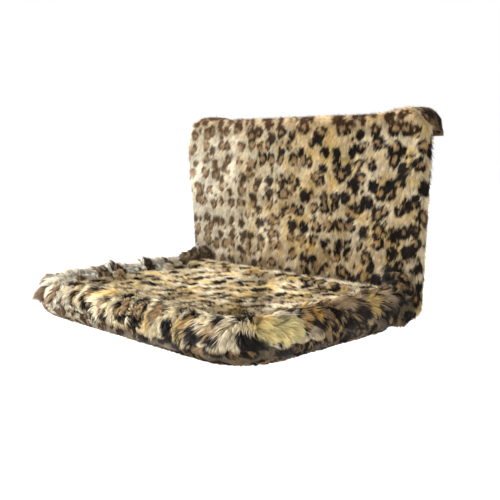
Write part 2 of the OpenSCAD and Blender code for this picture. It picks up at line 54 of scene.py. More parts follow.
BUMPER_LOW, BUMPER_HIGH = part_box("right_bumper")

# The back's outline, as the frame's cover has it
BACK_TOP_HALF = BACK_HIGH.x
BACK_LOW_HALF = 0.220
TOP_R = 0.026
LEFT_TOP_R = 0.044
LOW_R = 0.016
PLUSH_LOW_R = 0.010
EDGE_R = 0.009
BACK_FRONT = -0.028
# The crown of the back: its height, and its middle and reach up and down
CROWN = 0.003
CROWN_Z = -0.106
CROWN_REACH = 0.112
HOOK_LIFT = 0.0048
TOP_MID = BACK_HIGH.z - HOOK_LIFT
HOOK_X = 0.189
HOOK_HALF = 0.011
LIFT_RUN = 0.024
# The plush's peak over the outer end of each hook, as a share of the lift
PEAK_SHARE = 0.65
PEAK_X = 0.203
PEAK_RUN = 0.017
# The left edge's bulge, at a height and over a run up and down
LEFT_BULGE = 0.0070
BULGE_Z = -0.060
BULGE_RUN = 0.050

# The rim's roll, a U of one radius round the hoop
RIM_R = (RIM_HIGH.z - RIM_LOW.z) / 2
HOOP_Z = (RIM_HIGH.z + RIM_LOW.z) / 2
SIDE_X = RIM_HIGH.x - RIM_R
HOOP_Y = RIM_LOW.y + RIM_R
RIM_END = RIM_HIGH.y
BEND_R = HOOP_HIGH.y - HOOP_Y
BEND_X = SIDE_X - BEND_R
BEND_Y = HOOP_HIGH.y
ARM_LEN = RIM_END - BEND_Y
BEND_LEN = BEND_R * math.pi / 2
FRONT_LEN = 2 * BEND_X
RIM_LEN = 2 * ARM_LEN + 2 * BEND_LEN + FRONT_LEN

# The flap: how round it turns down behind the hooks, and its face towards the radiator at the hem
FLAP_TURN_R = 0.006
FLAP_INNER_Y = FLAP_HIGH.y - 0.0026 - 0.0025

# How far the cloth lies under the pile's tips
BACK_NAP = 0.0042
RIM_NAP = 0.0058
SEAT_NAP = 0.0032
SHORT_NAP = 0.0018
CLOTH_T = 0.0014
FLAP_T = 0.0022

# Angles round the rim of the seam between its long pile and the short nap below it: at the middle of the
# front and at the corners, and its climb along the arms
FRONT_SEAM = math.radians(-38)
CORNER_SEAM = math.radians(-18)
SEAM_CLIMB = math.radians(8)
RIM_TUCK = math.radians(152)
# How far the rim's cover sags below the hoop's circle
RIM_SLACK = 0.0050
# The length of the rim's round ends, the run of its cloth across the seam and the depth of the seam's groove
RIM_END_RUN = 0.012
SEAM_RUN = 0.004
SEAM_GROOVE = 0.0016

# How much the strands of a pile differ in length, as a share of it, and how deep they are rooted
STRAND_UNEVEN = 0.25
ROOT_DEPTH = 0.0004

# Sewing
STITCH = 0.0042
THREAD_R = 0.00045
LINING_T = 0.0008
LINING_SEAM = 0.0045
SEAM_PULL = 0.0012
HOLE_SEAM_R = 0.0125
TAPE_SEAM = 0.0018
TAPE_T = 0.0005
HEM = 0.008

# Camera and light, fitted to the photograph's outline and tones
CAMERA_PLACE = (0.76688, -0.83454, -0.03096)
CAMERA_AZIMUTH = 46.391
CAMERA_ELEVATION = 7.963
CAMERA_ROLL = -0.555
CAMERA_LENS = 55.03
FLOOR_Z = -1.4
ROOM_LIGHT = 0.76
FLOOR_GLOW = 0.7


def srgb(r, g, b):
    """A linear colour from the 0 to 255 values that a swatch is named by."""
    out = []
    for c in (r, g, b):
        c = c / 255
        out.append(c / 12.92 if c <= 0.04045 else ((c + 0.055) / 1.055) ** 2.4)
    return (*out, 1.0)


# Dyes of the plush
CREAM = srgb(252, 246, 230)
HONEY = srgb(252, 238, 206)
SAND = srgb(240, 218, 172)
GOLD = srgb(242, 210, 132)
STRAW = srgb(249, 236, 200)
AMBER = srgb(238, 188, 104)
LEMON = srgb(255, 237, 172)
STONE = srgb(200, 176, 138)
DUSK = srgb(182, 154, 110)
CARAMEL = srgb(192, 152, 100)
TAN = srgb(160, 120, 76)
FAWN = srgb(150, 124, 92)
BROWN = srgb(98, 68, 42)
UMBER = srgb(128, 98, 66)
BARK = srgb(104, 78, 50)
BLACK = srgb(29, 20, 11)
SLATE = srgb(36, 31, 29)
OLIVE = srgb(136, 122, 98)
PEAT = srgb(108, 96, 80)


class Nodes:
    """A node tree, built a node at a time. A value is a number, a colour or another node's socket."""

    def __init__(self, tree):
        self.tree = tree

    def put(self, socket, value):
        if hasattr(value, "links"):
            self.tree.links.new(value, socket)
        elif value is not None:
            socket.default_value = value

    def node(self, kind, **settings):
        made = self.tree.nodes.new(kind)
        for key, value in settings.items():
            setattr(made, key, value)
        return made

    def attribute(self, name, output="Fac"):
        return self.node("ShaderNodeAttribute", attribute_name=name).outputs[output]

    def math(self, operation, a, b=None):
        made = self.node("ShaderNodeMath", operation=operation)
        for socket, value in zip(made.inputs, (a, b)):
            self.put(socket, value)
        return made.outputs[0]

    def times(self, a, b):
        return self.math("MULTIPLY", a, b)

    def plus(self, a, b):
        return self.math("ADD", a, b)

    def minus(self, a, b):
        return self.math("SUBTRACT", a, b)

    def vector(self, operation, a, b=None, scale=None):
        made = self.node("ShaderNodeVectorMath", operation=operation)
        self.put(made.inputs[0], a)
        if b is not None:
            self.put(made.inputs[1], b)
        if scale is not None:
            self.put(made.inputs["Scale"], scale)
        return made.outputs[0]

    def noise(self, at, scale, detail=2.0, roughness=0.5, output="Fac"):
        made = self.node("ShaderNodeTexNoise")
        self.put(made.inputs["Vector"], at)
        made.inputs["Scale"].default_value = scale
        made.inputs["Detail"].default_value = detail
        made.inputs["Roughness"].default_value = roughness
        return made.outputs[output]

    def warp(self, at, scale, reach):
        """The place moved about by a noise."""
        wobble = self.vector("SUBTRACT", self.noise(at, scale, 3.0, 0.6, "Color"), (0.5, 0.5, 0.5))
        return self.vector("ADD", at, self.vector("SCALE", wobble, scale=reach))

    def stretched(self, at, *shares):
        return self.vector("MULTIPLY", at, shares)

    def cells(self, at, scale, randomness=0.9, flat=False):
        made = self.node("ShaderNodeTexVoronoi", voronoi_dimensions="2D" if flat else "3D")
        self.put(made.inputs["Vector"], at)
        made.inputs["Scale"].default_value = scale
        made.inputs["Randomness"].default_value = randomness
        return made

    def step(self, value, low, high, to_low=0.0, to_high=1.0):
        """A smooth step of a value, from to_low where it is low to to_high where it is high."""
        made = self.node("ShaderNodeMapRange", interpolation_type="SMOOTHSTEP")
        self.put(made.inputs["Value"], value)
        self.put(made.inputs["From Min"], low)
        self.put(made.inputs["From Max"], high)
        self.put(made.inputs["To Min"], to_low)
        self.put(made.inputs["To Max"], to_high)
        return made.outputs["Result"]

    def mix(self, share, a, b, blend="MIX"):
        made = self.node("ShaderNodeMix", data_type="RGBA", blend_type=blend, clamp_factor=True)
        self.put(made.inputs[0], share)
        self.put(made.inputs[6], a)
        self.put(made.inputs[7], b)
        return made.outputs[2]

    def part(self, colour, name):
        made = self.node("ShaderNodeSeparateColor")
        self.put(made.inputs[0], colour)
        return made.outputs[name]

    def axis(self, vector, name):
        made = self.node("ShaderNodeSeparateXYZ")
        self.put(made.inputs[0], vector)
        return made.outputs[name]

    def seen(self):
        """1 on rays of the camera and on those that gloss or glass sends on, and 0 on the light's own."""
        path = self.node("ShaderNodeLightPath")
        direct = self.math("MAXIMUM", path.outputs["Is Camera Ray"], path.outputs["Is Glossy Ray"])
        return self.math("MAXIMUM", direct, path.outputs["Is Transmission Ray"])


class Finish(Nodes):
    """A node material."""

    def __init__(self, name):
        self.material = bpy.data.materials.new(name)
        self.material.use_nodes = True
        super().__init__(self.material.node_tree)
        self.shader = self.tree.nodes["Principled BSDF"]

    def place(self):
        return self.node("ShaderNodeTexCoord").outputs["Object"]

    def bump(self, height, strength, distance):
        made = self.node("ShaderNodeBump")
        self.put(made.inputs["Height"], height)
        made.inputs["Strength"].default_value = strength
        made.inputs["Distance"].default_value = distance
        self.put(self.shader.inputs["Normal"], made.outputs[0])

    def set(self, **values):
        for key, value in values.items():
            self.put(self.shader.inputs[key.replace("_", " ").title()], value)


def leopard(finish, at, spot, light, deep, bright, dark, tall=1.0, bold=0.3, painted_shading=()):
    """Colour of a leopard print at a place on the cloth.

    spot is a rosette's spacing in metres, tall is how far it is drawn out along the cloth's second axis, and
    bold is how thick and closed its ring is, from 0 to 1. light, deep and bright are the ground's dyes, and
    dark is the spots'. A wash is painted light or shade laid on by place: its share, its dye for the ground
    and its dye for the spots.
    """
    def by_bold(low, high):
        return finish.step(bold, 0.0, 1.0, low, high)

    # A rosette: a broken ring round a tawny heart, or now and then a solid spot
    warped = finish.stretched(finish.warp(at, 1.8 / spot, 0.50 * spot), 1.0, 1 / tall, 1.0)
    rosettes = finish.cells(warped, 1 / spot, 0.72, flat=True)
    away = rosettes.outputs["Distance"]
    chance = finish.part(rosettes.outputs["Color"], "Red")
    kind = finish.part(rosettes.outputs["Color"], "Green")
    radius = finish.step(chance, 0.0, 1.0, 0.24, 0.36)
    stray = finish.math("ABSOLUTE", finish.minus(away, radius))
    ring = finish.step(stray, by_bold(0.01, 0.06), by_bold(0.15, 0.24), 1.0, 0.0)
    blots = finish.plus(finish.noise(warped, 2.6 / spot, 1.0), by_bold(-0.04, 0.10))
    ring = finish.times(ring, finish.step(blots, 0.38, 0.54, 0.0, 1.35))
    solid = finish.step(away, 0.10, by_bold(0.34, 0.42), 1.0, 0.0)
    solid = finish.times(solid, finish.step(blots, 0.3, 0.6, 0.6, 1.4))
    solid = finish.times(solid, finish.step(kind, by_bold(0.20, 0.32), 0.45, 1.0, 0.0))
    heart = finish.step(away, finish.minus(radius, 0.12), finish.plus(radius, 0.08), 0.8, 0.0)
    # Flecks between the rosettes
    flecks = finish.cells(warped, 2.2 / spot, 0.9)
    fleck = finish.step(flecks.outputs["Distance"], 0.06, 0.50, 1.0, 0.0)
    fleck = finish.times(fleck, finish.step(finish.part(flecks.outputs["Color"], "Red"), 0.70, 0.76))
    fleck = finish.times(fleck, finish.step(away, finish.plus(radius, 0.08), 0.55))
    spots = finish.math("MAXIMUM", finish.math("MAXIMUM", ring, solid), fleck)
    # The ground drifts between its dyes, with small dusky mottles
    drift = finish.step(finish.noise(at, 0.6 / spot, 3.0), 0.38, 0.62)
    ground = finish.mix(drift, light, deep)
    patch = finish.noise(finish.vector("ADD", at, (0.31, 0.17, 0.0)), 0.8 / spot, 3.0)
    ground = finish.mix(finish.step(patch, 0.50, 0.62, 0.0, 0.8), ground, bright)
    mottle = finish.noise(at, 2.3 / spot, 4.0, 0.6)
    ground = finish.mix(finish.step(mottle, 0.46, 0.66, 0.0, 0.40), ground, DUSK)
    # Washes: painted light and shade laid on the ground and the spots by place
    for share, dye, spot_dye in painted_shading:
        ground = finish.mix(share, ground, dye)
        dark = finish.mix(share, dark, spot_dye)
    ground = finish.mix(heart, ground, CARAMEL)
    # The spots' soft brown edge, then their own dye
    ground = finish.mix(finish.step(spots, 0.02, 0.40, 0.0, 0.75), ground, BROWN)
    return finish.mix(finish.step(spots, 0.24, 0.56), ground, dark)


def plush(name, spot, light, deep, bright, dark, foot=0.8, tones=(0.88, 1.24), painted_shading=(), tall=1.0,
          bold=0.3, boldness=(), patches=()):
    """Pile and its backing cloth: the print at a strand's root, darkened at its foot as painted shade, each
    strand its own tone.

    foot is the tone at a strand's foot, painted shade of the pile's depth, and tones is the range from strand
    to strand; where it goes above 1 it is painted light, brighter than the dye. A wash, painted light or
    shade laid on by place, is the cloth's axis that it follows, where it starts, where it is full, its share
    there and its two dyes. boldness holds the axis, where the print's bold value starts to change, where the
    change is full and the value there. A patch is a place on the cloth, its radius and its dye.
    """
    finish = Finish(name)
    at = finish.attribute("cloth", "Vector")
    shades = [(finish.step(finish.axis(at, axis), start, full, 0.0, share), dye, spot_dye)
              for axis, start, full, share, dye, spot_dye in painted_shading]
    for axis, start, full, value in boldness:
        bold = finish.step(finish.axis(at, axis), start, full, bold, value)
    colour = leopard(finish, at, spot, light, deep, bright, dark, tall, bold, shades)
    ragged = finish.warp(at, 45.0, 0.022)
    for place, radius, dye in patches:
        away = finish.node("ShaderNodeVectorMath", operation="DISTANCE")
        finish.put(away.inputs[0], finish.stretched(ragged, 1.0, 1.0, 0.0))
        finish.put(away.inputs[1], (*place, 0.0))
        inside = finish.step(away.outputs["Value"], radius * 0.75, radius, 0.82, 0.0)
        colour = finish.mix(inside, colour, dye)
    # Each strand's own tone; above 1 it is painted light, brighter than the dye
    tone = finish.step(finish.attribute("tone"), 0.0, 1.0, *tones)
    # Painted shade: each strand darker towards its foot
    level = finish.times(tone, finish.step(finish.attribute("along"), 0.0, 0.7, foot, 1.0))
    streak = finish.noise(finish.stretched(at, 1.0, 0.34, 1.0), 6.5 / spot, 3.0)
    level = finish.times(level, finish.step(streak, 0.32, 0.68, 0.82, 1.10))
    grey = finish.node("ShaderNodeCombineColor")
    for socket in grey.inputs[:3]:
        finish.put(socket, level)
    colour = finish.mix(1.0, colour, grey.outputs[0], "MULTIPLY")
    finish.set(base_color=colour, roughness=0.72, metallic=0.0)
    finish.shader.inputs["Specular IOR Level"].default_value = 0.18
    finish.shader.inputs["Sheen Weight"].default_value = 0.05
    finish.shader.inputs["Sheen Roughness"].default_value = 0.5
    return finish.material


def lighter(colour, by):
    return tuple(min(1.0, c * by + 0.01) for c in colour[:3]) + (1.0,)


def woven(name, colour, thread):
    """A plain weave on Object coordinates, with slubs and darker worn patches; the weave darkens where its
    threads dip, painted shade.
    """
    finish = Finish(name)
    at = finish.place()

    def threads(axis):
        return finish.math("SINE", finish.times(finish.axis(at, axis), math.pi / thread))

    over, under, across = threads("X"), threads("Z"), threads("Y")
    weave = finish.plus(finish.times(over, under), finish.times(over, across))
    slub = finish.noise(finish.stretched(at, 1.0, 1.0, 0.15), 900.0, 3.0)
    dark = tuple(c * 0.55 for c in colour[:3]) + (1.0,)
    # Painted shade: the weave darker where its threads dip
    mixed = finish.mix(finish.step(weave, -0.8, 0.8), dark, colour)
    mixed = finish.mix(finish.times(slub, 0.5), mixed, colour)
    worn = finish.mix(finish.step(finish.noise(at, 14.0, 3.0), 0.35, 0.7, 0.0, 0.25), mixed, dark)
    finish.set(base_color=worn, roughness=finish.step(slub, 0.3, 0.7, 0.82, 0.94))
    finish.bump(weave, 0.5, 0.0004)
    return finish.material


def steel_paint():
    """Satin black powder coat with its fine orange peel."""
    finish = Finish("powder_coat")
    at = finish.place()
    peel = finish.noise(at, 1400.0, 2.0)
    dust = finish.step(finish.noise(at, 60.0, 4.0), 0.45, 0.75)
    finish.set(
        base_color=finish.mix(dust, srgb(34, 34, 37), srgb(52, 52, 55)),
        roughness=finish.step(peel, 0.3, 0.7, 0.38, 0.55),
    )
    finish.bump(peel, 0.25, 0.0003)
    return finish.material


def zinc_plate():
    """Bright zinc plate, lightly streaked along the strip."""
    finish = Finish("zinc_plate")
    at = finish.place()
    streak = finish.noise(finish.stretched(at, 0.2, 1.0, 1.0), 900.0, 3.0)
    bloom = finish.noise(at, 120.0, 4.0)
    finish.set(
        base_color=finish.mix(bloom, srgb(176, 180, 186), srgb(206, 206, 204)),
        metallic=1.0,
        roughness=finish.step(streak, 0.3, 0.7, 0.28, 0.46),
    )
    finish.bump(streak, 0.12, 0.0002)
    return finish.material


def moulded(name, colour, rough, grain=700.0):
    """Moulded rubber, vinyl or plastic with a fine grain."""
    finish = Finish(name)
    at = finish.place()
    pores = finish.noise(at, grain, 3.0)
    scuff = finish.step(finish.noise(at, 90.0, 4.0), 0.5, 0.8)
    finish.set(
        base_color=finish.mix(finish.times(scuff, 0.6), colour, lighter(colour, 1.7)),
        roughness=finish.step(pores, 0.3, 0.7, rough - 0.08, rough + 0.08),
    )
    finish.bump(pores, 0.3, 0.0003)
    return finish.material


def fibre_fill():
    """White wadding: tangled fibres, grey in their hollows as painted shade."""
    finish = Finish("wadding_fibre")
    at = finish.place()
    tangle = finish.noise(at, 420.0, 5.0, 0.7)
    clump = finish.noise(at, 60.0, 3.0)
    colour = finish.mix(finish.step(tangle, 0.3, 0.6), srgb(190, 188, 180), srgb(244, 242, 236))
    colour = finish.mix(finish.times(clump, 0.3), colour, srgb(222, 216, 200))
    finish.set(base_color=colour, roughness=0.95)
    finish.bump(tangle, 0.8, 0.0015)
    return finish.material


def foam():
    """Closed-cell foam with open skin pores, darker inside them as painted shade."""
    finish = Finish("grey_foam")
    at = finish.place()
    pores = finish.cells(at, 900.0, 1.0)
    hole = finish.step(pores.outputs["Distance"], 0.25, 0.5)
    # Painted shade: darker in the pores
    colour = finish.mix(hole, srgb(58, 58, 62), srgb(104, 104, 108))
    finish.set(base_color=colour, roughness=0.92)
    finish.bump(hole, 0.6, 0.0006)
    return finish.material


def loop_tape(name, colour, scale):
    """Hook-and-loop tape: rows of loops or hooks on a woven ground, their tops paler as a painted highlight.
    """
    finish = Finish(name)
    at = finish.place()
    loops = finish.cells(at, scale, 0.6)
    height = finish.step(loops.outputs["Distance"], 0.1, 0.6, 1.0, 0.0)
    finish.set(base_color=finish.mix(height, colour, lighter(colour, 2.2)), roughness=0.85)
    finish.bump(height, 0.7, 0.0006)
    return finish.material


def thread_finish():
    """Twisted sewing thread."""
    finish = Finish("sewing_thread")
    at = finish.place()
    twist = finish.noise(at, 1600.0, 2.0)
    finish.set(base_color=finish.mix(twist, srgb(92, 74, 50), srgb(140, 116, 80)), roughness=0.7)
    finish.bump(twist, 0.4, 0.0003)
    return finish.material


# The back: tones above 1 are painted light, and its washes are painted light and shade
BACK_PLUSH = plush(
    "leopard_plush_back", 0.0215, HONEY, SAND, GOLD, BLACK, tones=(0.88, 1.44), bold=0.15,
    boldness=(("Y", -0.018, -0.004, 0.75), ("X", -0.05, 0.20, 0.58)),
    painted_shading=(
        # Painted light: paler towards the left; painted shade: darker along the top edge
        ("X", 0.06, -0.22, 0.75, CREAM, FAWN), ("Y", -0.022, 0.000, 0.72, STONE, BROWN),
        # Painted shade: darker towards the bottom
        ("Y", -0.17, -0.23, 0.40, TAN, BLACK),
    ),
)
# The flap: its dusky ground and low tones are painted shade on its lit top, and its right end is darker
# still, painted shade where it shows behind the back
FLAP_PLUSH = plush(
    "leopard_plush_flap", 0.0215, SAND, DUSK, GOLD, BLACK, tones=(0.74, 1.12), bold=0.50,
    painted_shading=(("X", 0.206, 0.220, 0.85, BARK, BLACK),),
)
# The rim: its low foot is painted shade in the long pile, and its tones above 1 are painted light
RIM_PLUSH = plush(
    "leopard_plush_rim", 0.0245, HONEY, STRAW, GOLD, SLATE, foot=0.66, tones=(0.84, 1.32), tall=1.8,
    bold=0.45,
    boldness=(
        ("Y", 0.008, 0.028, 0.20), ("X", -0.04, -0.12, 0.05),
        ("Y", 0.002, -0.014, 0.8), ("X", 0.26, 0.33, 0.7),
    ),
    painted_shading=(
        # Painted light: paler towards the left end and along the left arm; painted shade: darker on the right
        # arm
        ("X", -0.06, -0.14, 0.85, CREAM, UMBER), ("X", -0.23, -0.32, 0.90, CREAM, SLATE),
        ("X", -0.34, -0.44, 0.75, HONEY, UMBER), ("X", 0.245, 0.30, 0.65, TAN, BLACK),
        # Painted shade: darker on the roll's lower side
        ("Y", 0.0, -0.014, 0.5, TAN, BLACK),
    ),
    patches=(
        ((0.217, 0.017), 0.015, LEMON), ((0.240, 0.014), 0.017, LEMON), ((0.282, 0.028), 0.009, AMBER),
        ((0.350, 0.010), 0.015, SLATE), ((0.376, 0.022), 0.013, GOLD), ((0.404, 0.010), 0.013, SLATE),
    ),
)
SEAT_PLUSH = plush("leopard_plush_seat", 0.025, HONEY, SAND, GOLD, BLACK, tones=(0.72, 1.08), bold=0.25)
# The pockets: a dark print with bold spots, with low tones as painted shade in the gathered corners; the left
# pocket is paler, painted light
POCKET_PLUSH = plush(
    "leopard_plush_pocket", 0.021, DUSK, OLIVE, TAN, BLACK, tones=(0.42, 0.86), bold=0.7,
    painted_shading=(("X", -0.05, -0.20, 0.8, CREAM, FAWN),),
)
UNDER_PLUSH = plush("leopard_plush_under", 0.030, OLIVE, PEAT, OLIVE, BLACK, tones=(0.8, 1.1), bold=0.3)
BELOW_RIM_PLUSH = plush(
    "leopard_plush_below_rim", 0.020, OLIVE, PEAT, DUSK, BLACK, tones=(0.8, 1.1), bold=0.6,
    # Painted light: paler towards the left, back to the olive ground on the left arm
    painted_shading=(("X", 0.02, -0.06, 0.75, HONEY, UMBER), ("X", -0.25, -0.33, 0.9, OLIVE, PEAT)),
)
LINING_CLOTH = woven("brown_lining", srgb(92, 78, 62), 0.0011)
TUBE_PAINT = steel_paint()
ZINC = zinc_plate()
VINYL = moulded("vinyl_pad", srgb(44, 44, 44), 0.5)
RUBBER = moulded("black_rubber", srgb(28, 28, 28), 0.7)
CAP_PLASTIC = moulded("cap_polyethylene", srgb(26, 26, 27), 0.5, 1100.0)
NYLON = moulded("natural_nylon", srgb(226, 226, 216), 0.42, 1300.0)
WADDING = fibre_fill()
FOAM = foam()
LOOP_TAPE = loop_tape("loop_tape_black", srgb(24, 24, 25), 700.0)
HOOK_TAPE = loop_tape("hook_tape_black", srgb(18, 18, 19), 480.0)
THREAD = thread_finish()


def xyz(x, y, z):
    """Points from their coordinates, any of which may be one number for all of them."""
    return np.stack(np.broadcast_arrays(x, y, z), 1)


def points_of(mesh):
    co = np.empty(len(mesh.vertices) * 3)
    mesh.vertices.foreach_get("co", co)
    return co.reshape(-1, 3)


def move_points(mesh, co):
    mesh.vertices.foreach_set("co", co.ravel())
    mesh.update()


def normals_of(mesh):
    out = np.empty(len(mesh.vertices) * 3, np.float32)
    mesh.vertex_normals.foreach_get("vector", out)
    return out.reshape(-1, 3).astype(float)


def unit(v):
    return v / np.maximum(np.linalg.norm(v, axis=1, keepdims=True), 1e-9)


def select_only(obj):
    bpy.ops.object.select_all(action="DESELECT")
    obj.select_set(True)
    bpy.context.view_layer.objects.active = obj


def apply(obj, kind, **settings):
    """Adds a modifier and applies it."""
    select_only(obj)
    made = obj.modifiers.new(kind.lower(), kind)
    for key, value in settings.items():
        setattr(made, key, value)
    bpy.ops.object.modifier_apply(modifier=made.name)


def smooth(obj, angle=None):
    select_only(obj)
    if angle is None:
        bpy.ops.object.shade_smooth()
    else:
        bpy.ops.object.shade_smooth_by_angle(angle=math.radians(angle))


def paint(obj, material):
    obj.data.materials.clear()
    obj.data.materials.append(material)


def grid(name, columns, rows):
    """A flat grid, with the places of its vertices across and along it, from -1 to 1."""
    bpy.ops.object.select_all(action="DESELECT")
    bpy.ops.mesh.primitive_grid_add(x_subdivisions=columns, y_subdivisions=rows, size=1)
    obj = bpy.context.object
    obj.name = name
    obj.data.name = name
    co = points_of(obj.data)
    return obj, co[:, 0] * 2, co[:, 1] * 2


def edit(obj):
    """Opens a mesh for editing with all of it selected."""
    select_only(obj)
    bpy.ops.object.mode_set(mode="EDIT")
    bpy.ops.mesh.select_all(action="SELECT")


def outward(obj):
    """Makes the faces of a mesh point outwards."""
    edit(obj)
    bpy.ops.mesh.remove_doubles(threshold=1e-5)
    bpy.ops.mesh.normals_make_consistent(inside=False)
    bpy.ops.object.mode_set(mode="OBJECT")


def face_along(obj, axis, way=1):
    """Makes the faces of an open sheet point one way along an axis."""
    outward(obj)
    if normals_of(obj.data)[:, axis].sum() * way < 0:
        obj.data.flip_normals()


def twin(obj):
    """A copy of an object with a mesh of its own."""
    made = obj.copy()
    made.data = obj.data.copy()
    bpy.context.scene.collection.objects.link(made)
    return made


def new_object(name, data):
    obj = bpy.data.objects.new(name, data)
    bpy.context.scene.collection.objects.link(obj)
    return obj


def wave(p, size, seed):
    """A smooth random field from -1 to 1 at points, made of a few sines; size is its grain in metres."""
    rng = np.random.default_rng(seed)
    out = np.zeros(len(p))
    for _ in range(7):
        k = rng.normal(0, 1, 3)
        k *= 2 * math.pi / (size * np.linalg.norm(k) * rng.uniform(0.7, 1.5))
        out += np.sin(p @ k + rng.uniform(0, 2 * math.pi))
    return np.clip(out / 3.2, -1, 1)


def keep_value(mesh, name, values):
    """Stores a number for each vertex."""
    made = mesh.attributes.new(name, "FLOAT", "POINT")
    made.data.foreach_set("value", np.asarray(values, np.float32))


def keep_place(mesh, cloth):
    """Stores the place on the cloth for each vertex."""
    made = mesh.attributes.new("cloth", "FLOAT_VECTOR", "POINT")
    made.data.foreach_set("vector", cloth.astype(np.float32).ravel())


def keep_cloth(obj, cloth_of):
    """Stores a backing cloth's places on the print, with a low tone and foot share, painted shade where it
    shows between the strands.
    """
    cloth = cloth_of(points_of(obj.data))
    keep_place(obj.data, cloth)
    keep_value(obj.data, "tone", np.full(len(cloth), 0.35))
    keep_value(obj.data, "along", np.full(len(cloth), 0.25))


# Places on the cloth, worked out from points on the piece; the third number is the print's layer
def back_cloth(p):
    """Across and up the back, and on round its edge."""
    past_edge = np.maximum(p[:, 1] - BACK_FRONT - EDGE_R, 0)
    x = p[:, 0] + np.sign(p[:, 0]) * past_edge * (np.abs(p[:, 0]) > 0.19)
    return xyz(x, p[:, 2] + past_edge * (p[:, 2] > -0.02), 0.013)


def flap_cloth(p):
    """Across the flap, and over the hooks and down behind them."""
    over = BACK_HIGH.z + (p[:, 1] - BACK_FRONT - EDGE_R)
    behind = np.where(p[:, 1] > FLAP_HIGH.y - 0.006, BACK_HIGH.z - p[:, 2], 0)
    return xyz(p[:, 0], over + behind, 0.040)


def rim_cloth(p):
    """Length along the roll and height round it."""
    s, turn, _ = rim_place(p)
    return xyz(s, turn * RIM_R, 0.021)


def seat_cloth(p):
    return xyz(p[:, 0], p[:, 1], 0.034)


def roll_cloth(p):
    return xyz(p[:, 0], p[:, 2] - p[:, 1], 0.034)


def pocket_cloth(p):
    return xyz(p[:, 0] + p[:, 1], p[:, 2], 0.05)


def ease(share):
    """A smooth step of a share from 0 to 1."""
    share = np.clip(share, 0, 1)
    return share * share * (3 - 2 * share)


def seam_turn(s):
    """Angle round the rim of its seam, at a length along the hoop."""
    corner = ease(np.abs(s) / (FRONT_LEN / 2 + BEND_LEN / 2))
    climb = ease((np.abs(s) - FRONT_LEN / 2) / (BEND_LEN + ARM_LEN))
    return FRONT_SEAM + (CORNER_SEAM - FRONT_SEAM) * corner + SEAM_CLIMB * climb


def rim_place(p):
    """At points: length along the hoop, angle round it from outside over the top, and the way outwards."""
    x, y, z = p[:, 0], p[:, 1], p[:, 2]
    side = np.sign(np.where(x == 0, 1e-9, x))
    on_arm = y > BEND_Y
    on_front = (np.abs(x) < BEND_X) & ~on_arm
    dx, dy = np.abs(x) - BEND_X, y - BEND_Y
    bend = np.arctan2(-dy, np.maximum(dx, 1e-9))
    bend = np.clip(bend, 0, math.pi / 2)
    half = np.where(on_arm, FRONT_LEN / 2 + BEND_LEN + (y - BEND_Y), 0)
    half = np.where(on_front, np.abs(x), half)
    half = np.where(~on_arm & ~on_front, FRONT_LEN / 2 + BEND_R * (math.pi / 2 - bend), half)
    out = xyz(side * np.cos(bend), -np.sin(bend), 0.0)
    out[on_arm] = xyz(side, 0.0, 0.0)[on_arm]
    out[on_front] = (0, -1, 0)
    reach = np.where(on_arm, np.abs(x) - SIDE_X, np.hypot(dx, dy) - BEND_R)
    reach = np.where(on_front, HOOP_Y - y, reach)
    turn = np.arctan2(z - HOOP_Z, reach)
    return side * half, turn, out


def back_half(z, corner=TOP_R, low_corner=LOW_R):
    """Half-width of the back's outline at a height."""
    share = (z - BACK_LOW.z) / (TOP_MID - BACK_LOW.z)
    straight = BACK_LOW_HALF + (BACK_TOP_HALF - BACK_LOW_HALF) * np.clip(share, 0, 1)
    up = np.clip(z - (BACK_HIGH.z - corner), 0, corner)
    down = np.clip(BACK_LOW.z + low_corner - z, 0, low_corner)
    rounding = low_corner - np.sqrt(low_corner**2 - down**2)
    return straight - (corner - np.sqrt(corner**2 - up**2)) - rounding


def lift(x):
    """Share of the lift over the hooks at a place across the back."""
    rise = ease((np.abs(x) - HOOK_X + HOOK_HALF + LIFT_RUN) / LIFT_RUN)
    return rise + PEAK_SHARE * np.exp(-(((np.abs(x) - PEAK_X) / PEAK_RUN) ** 2))


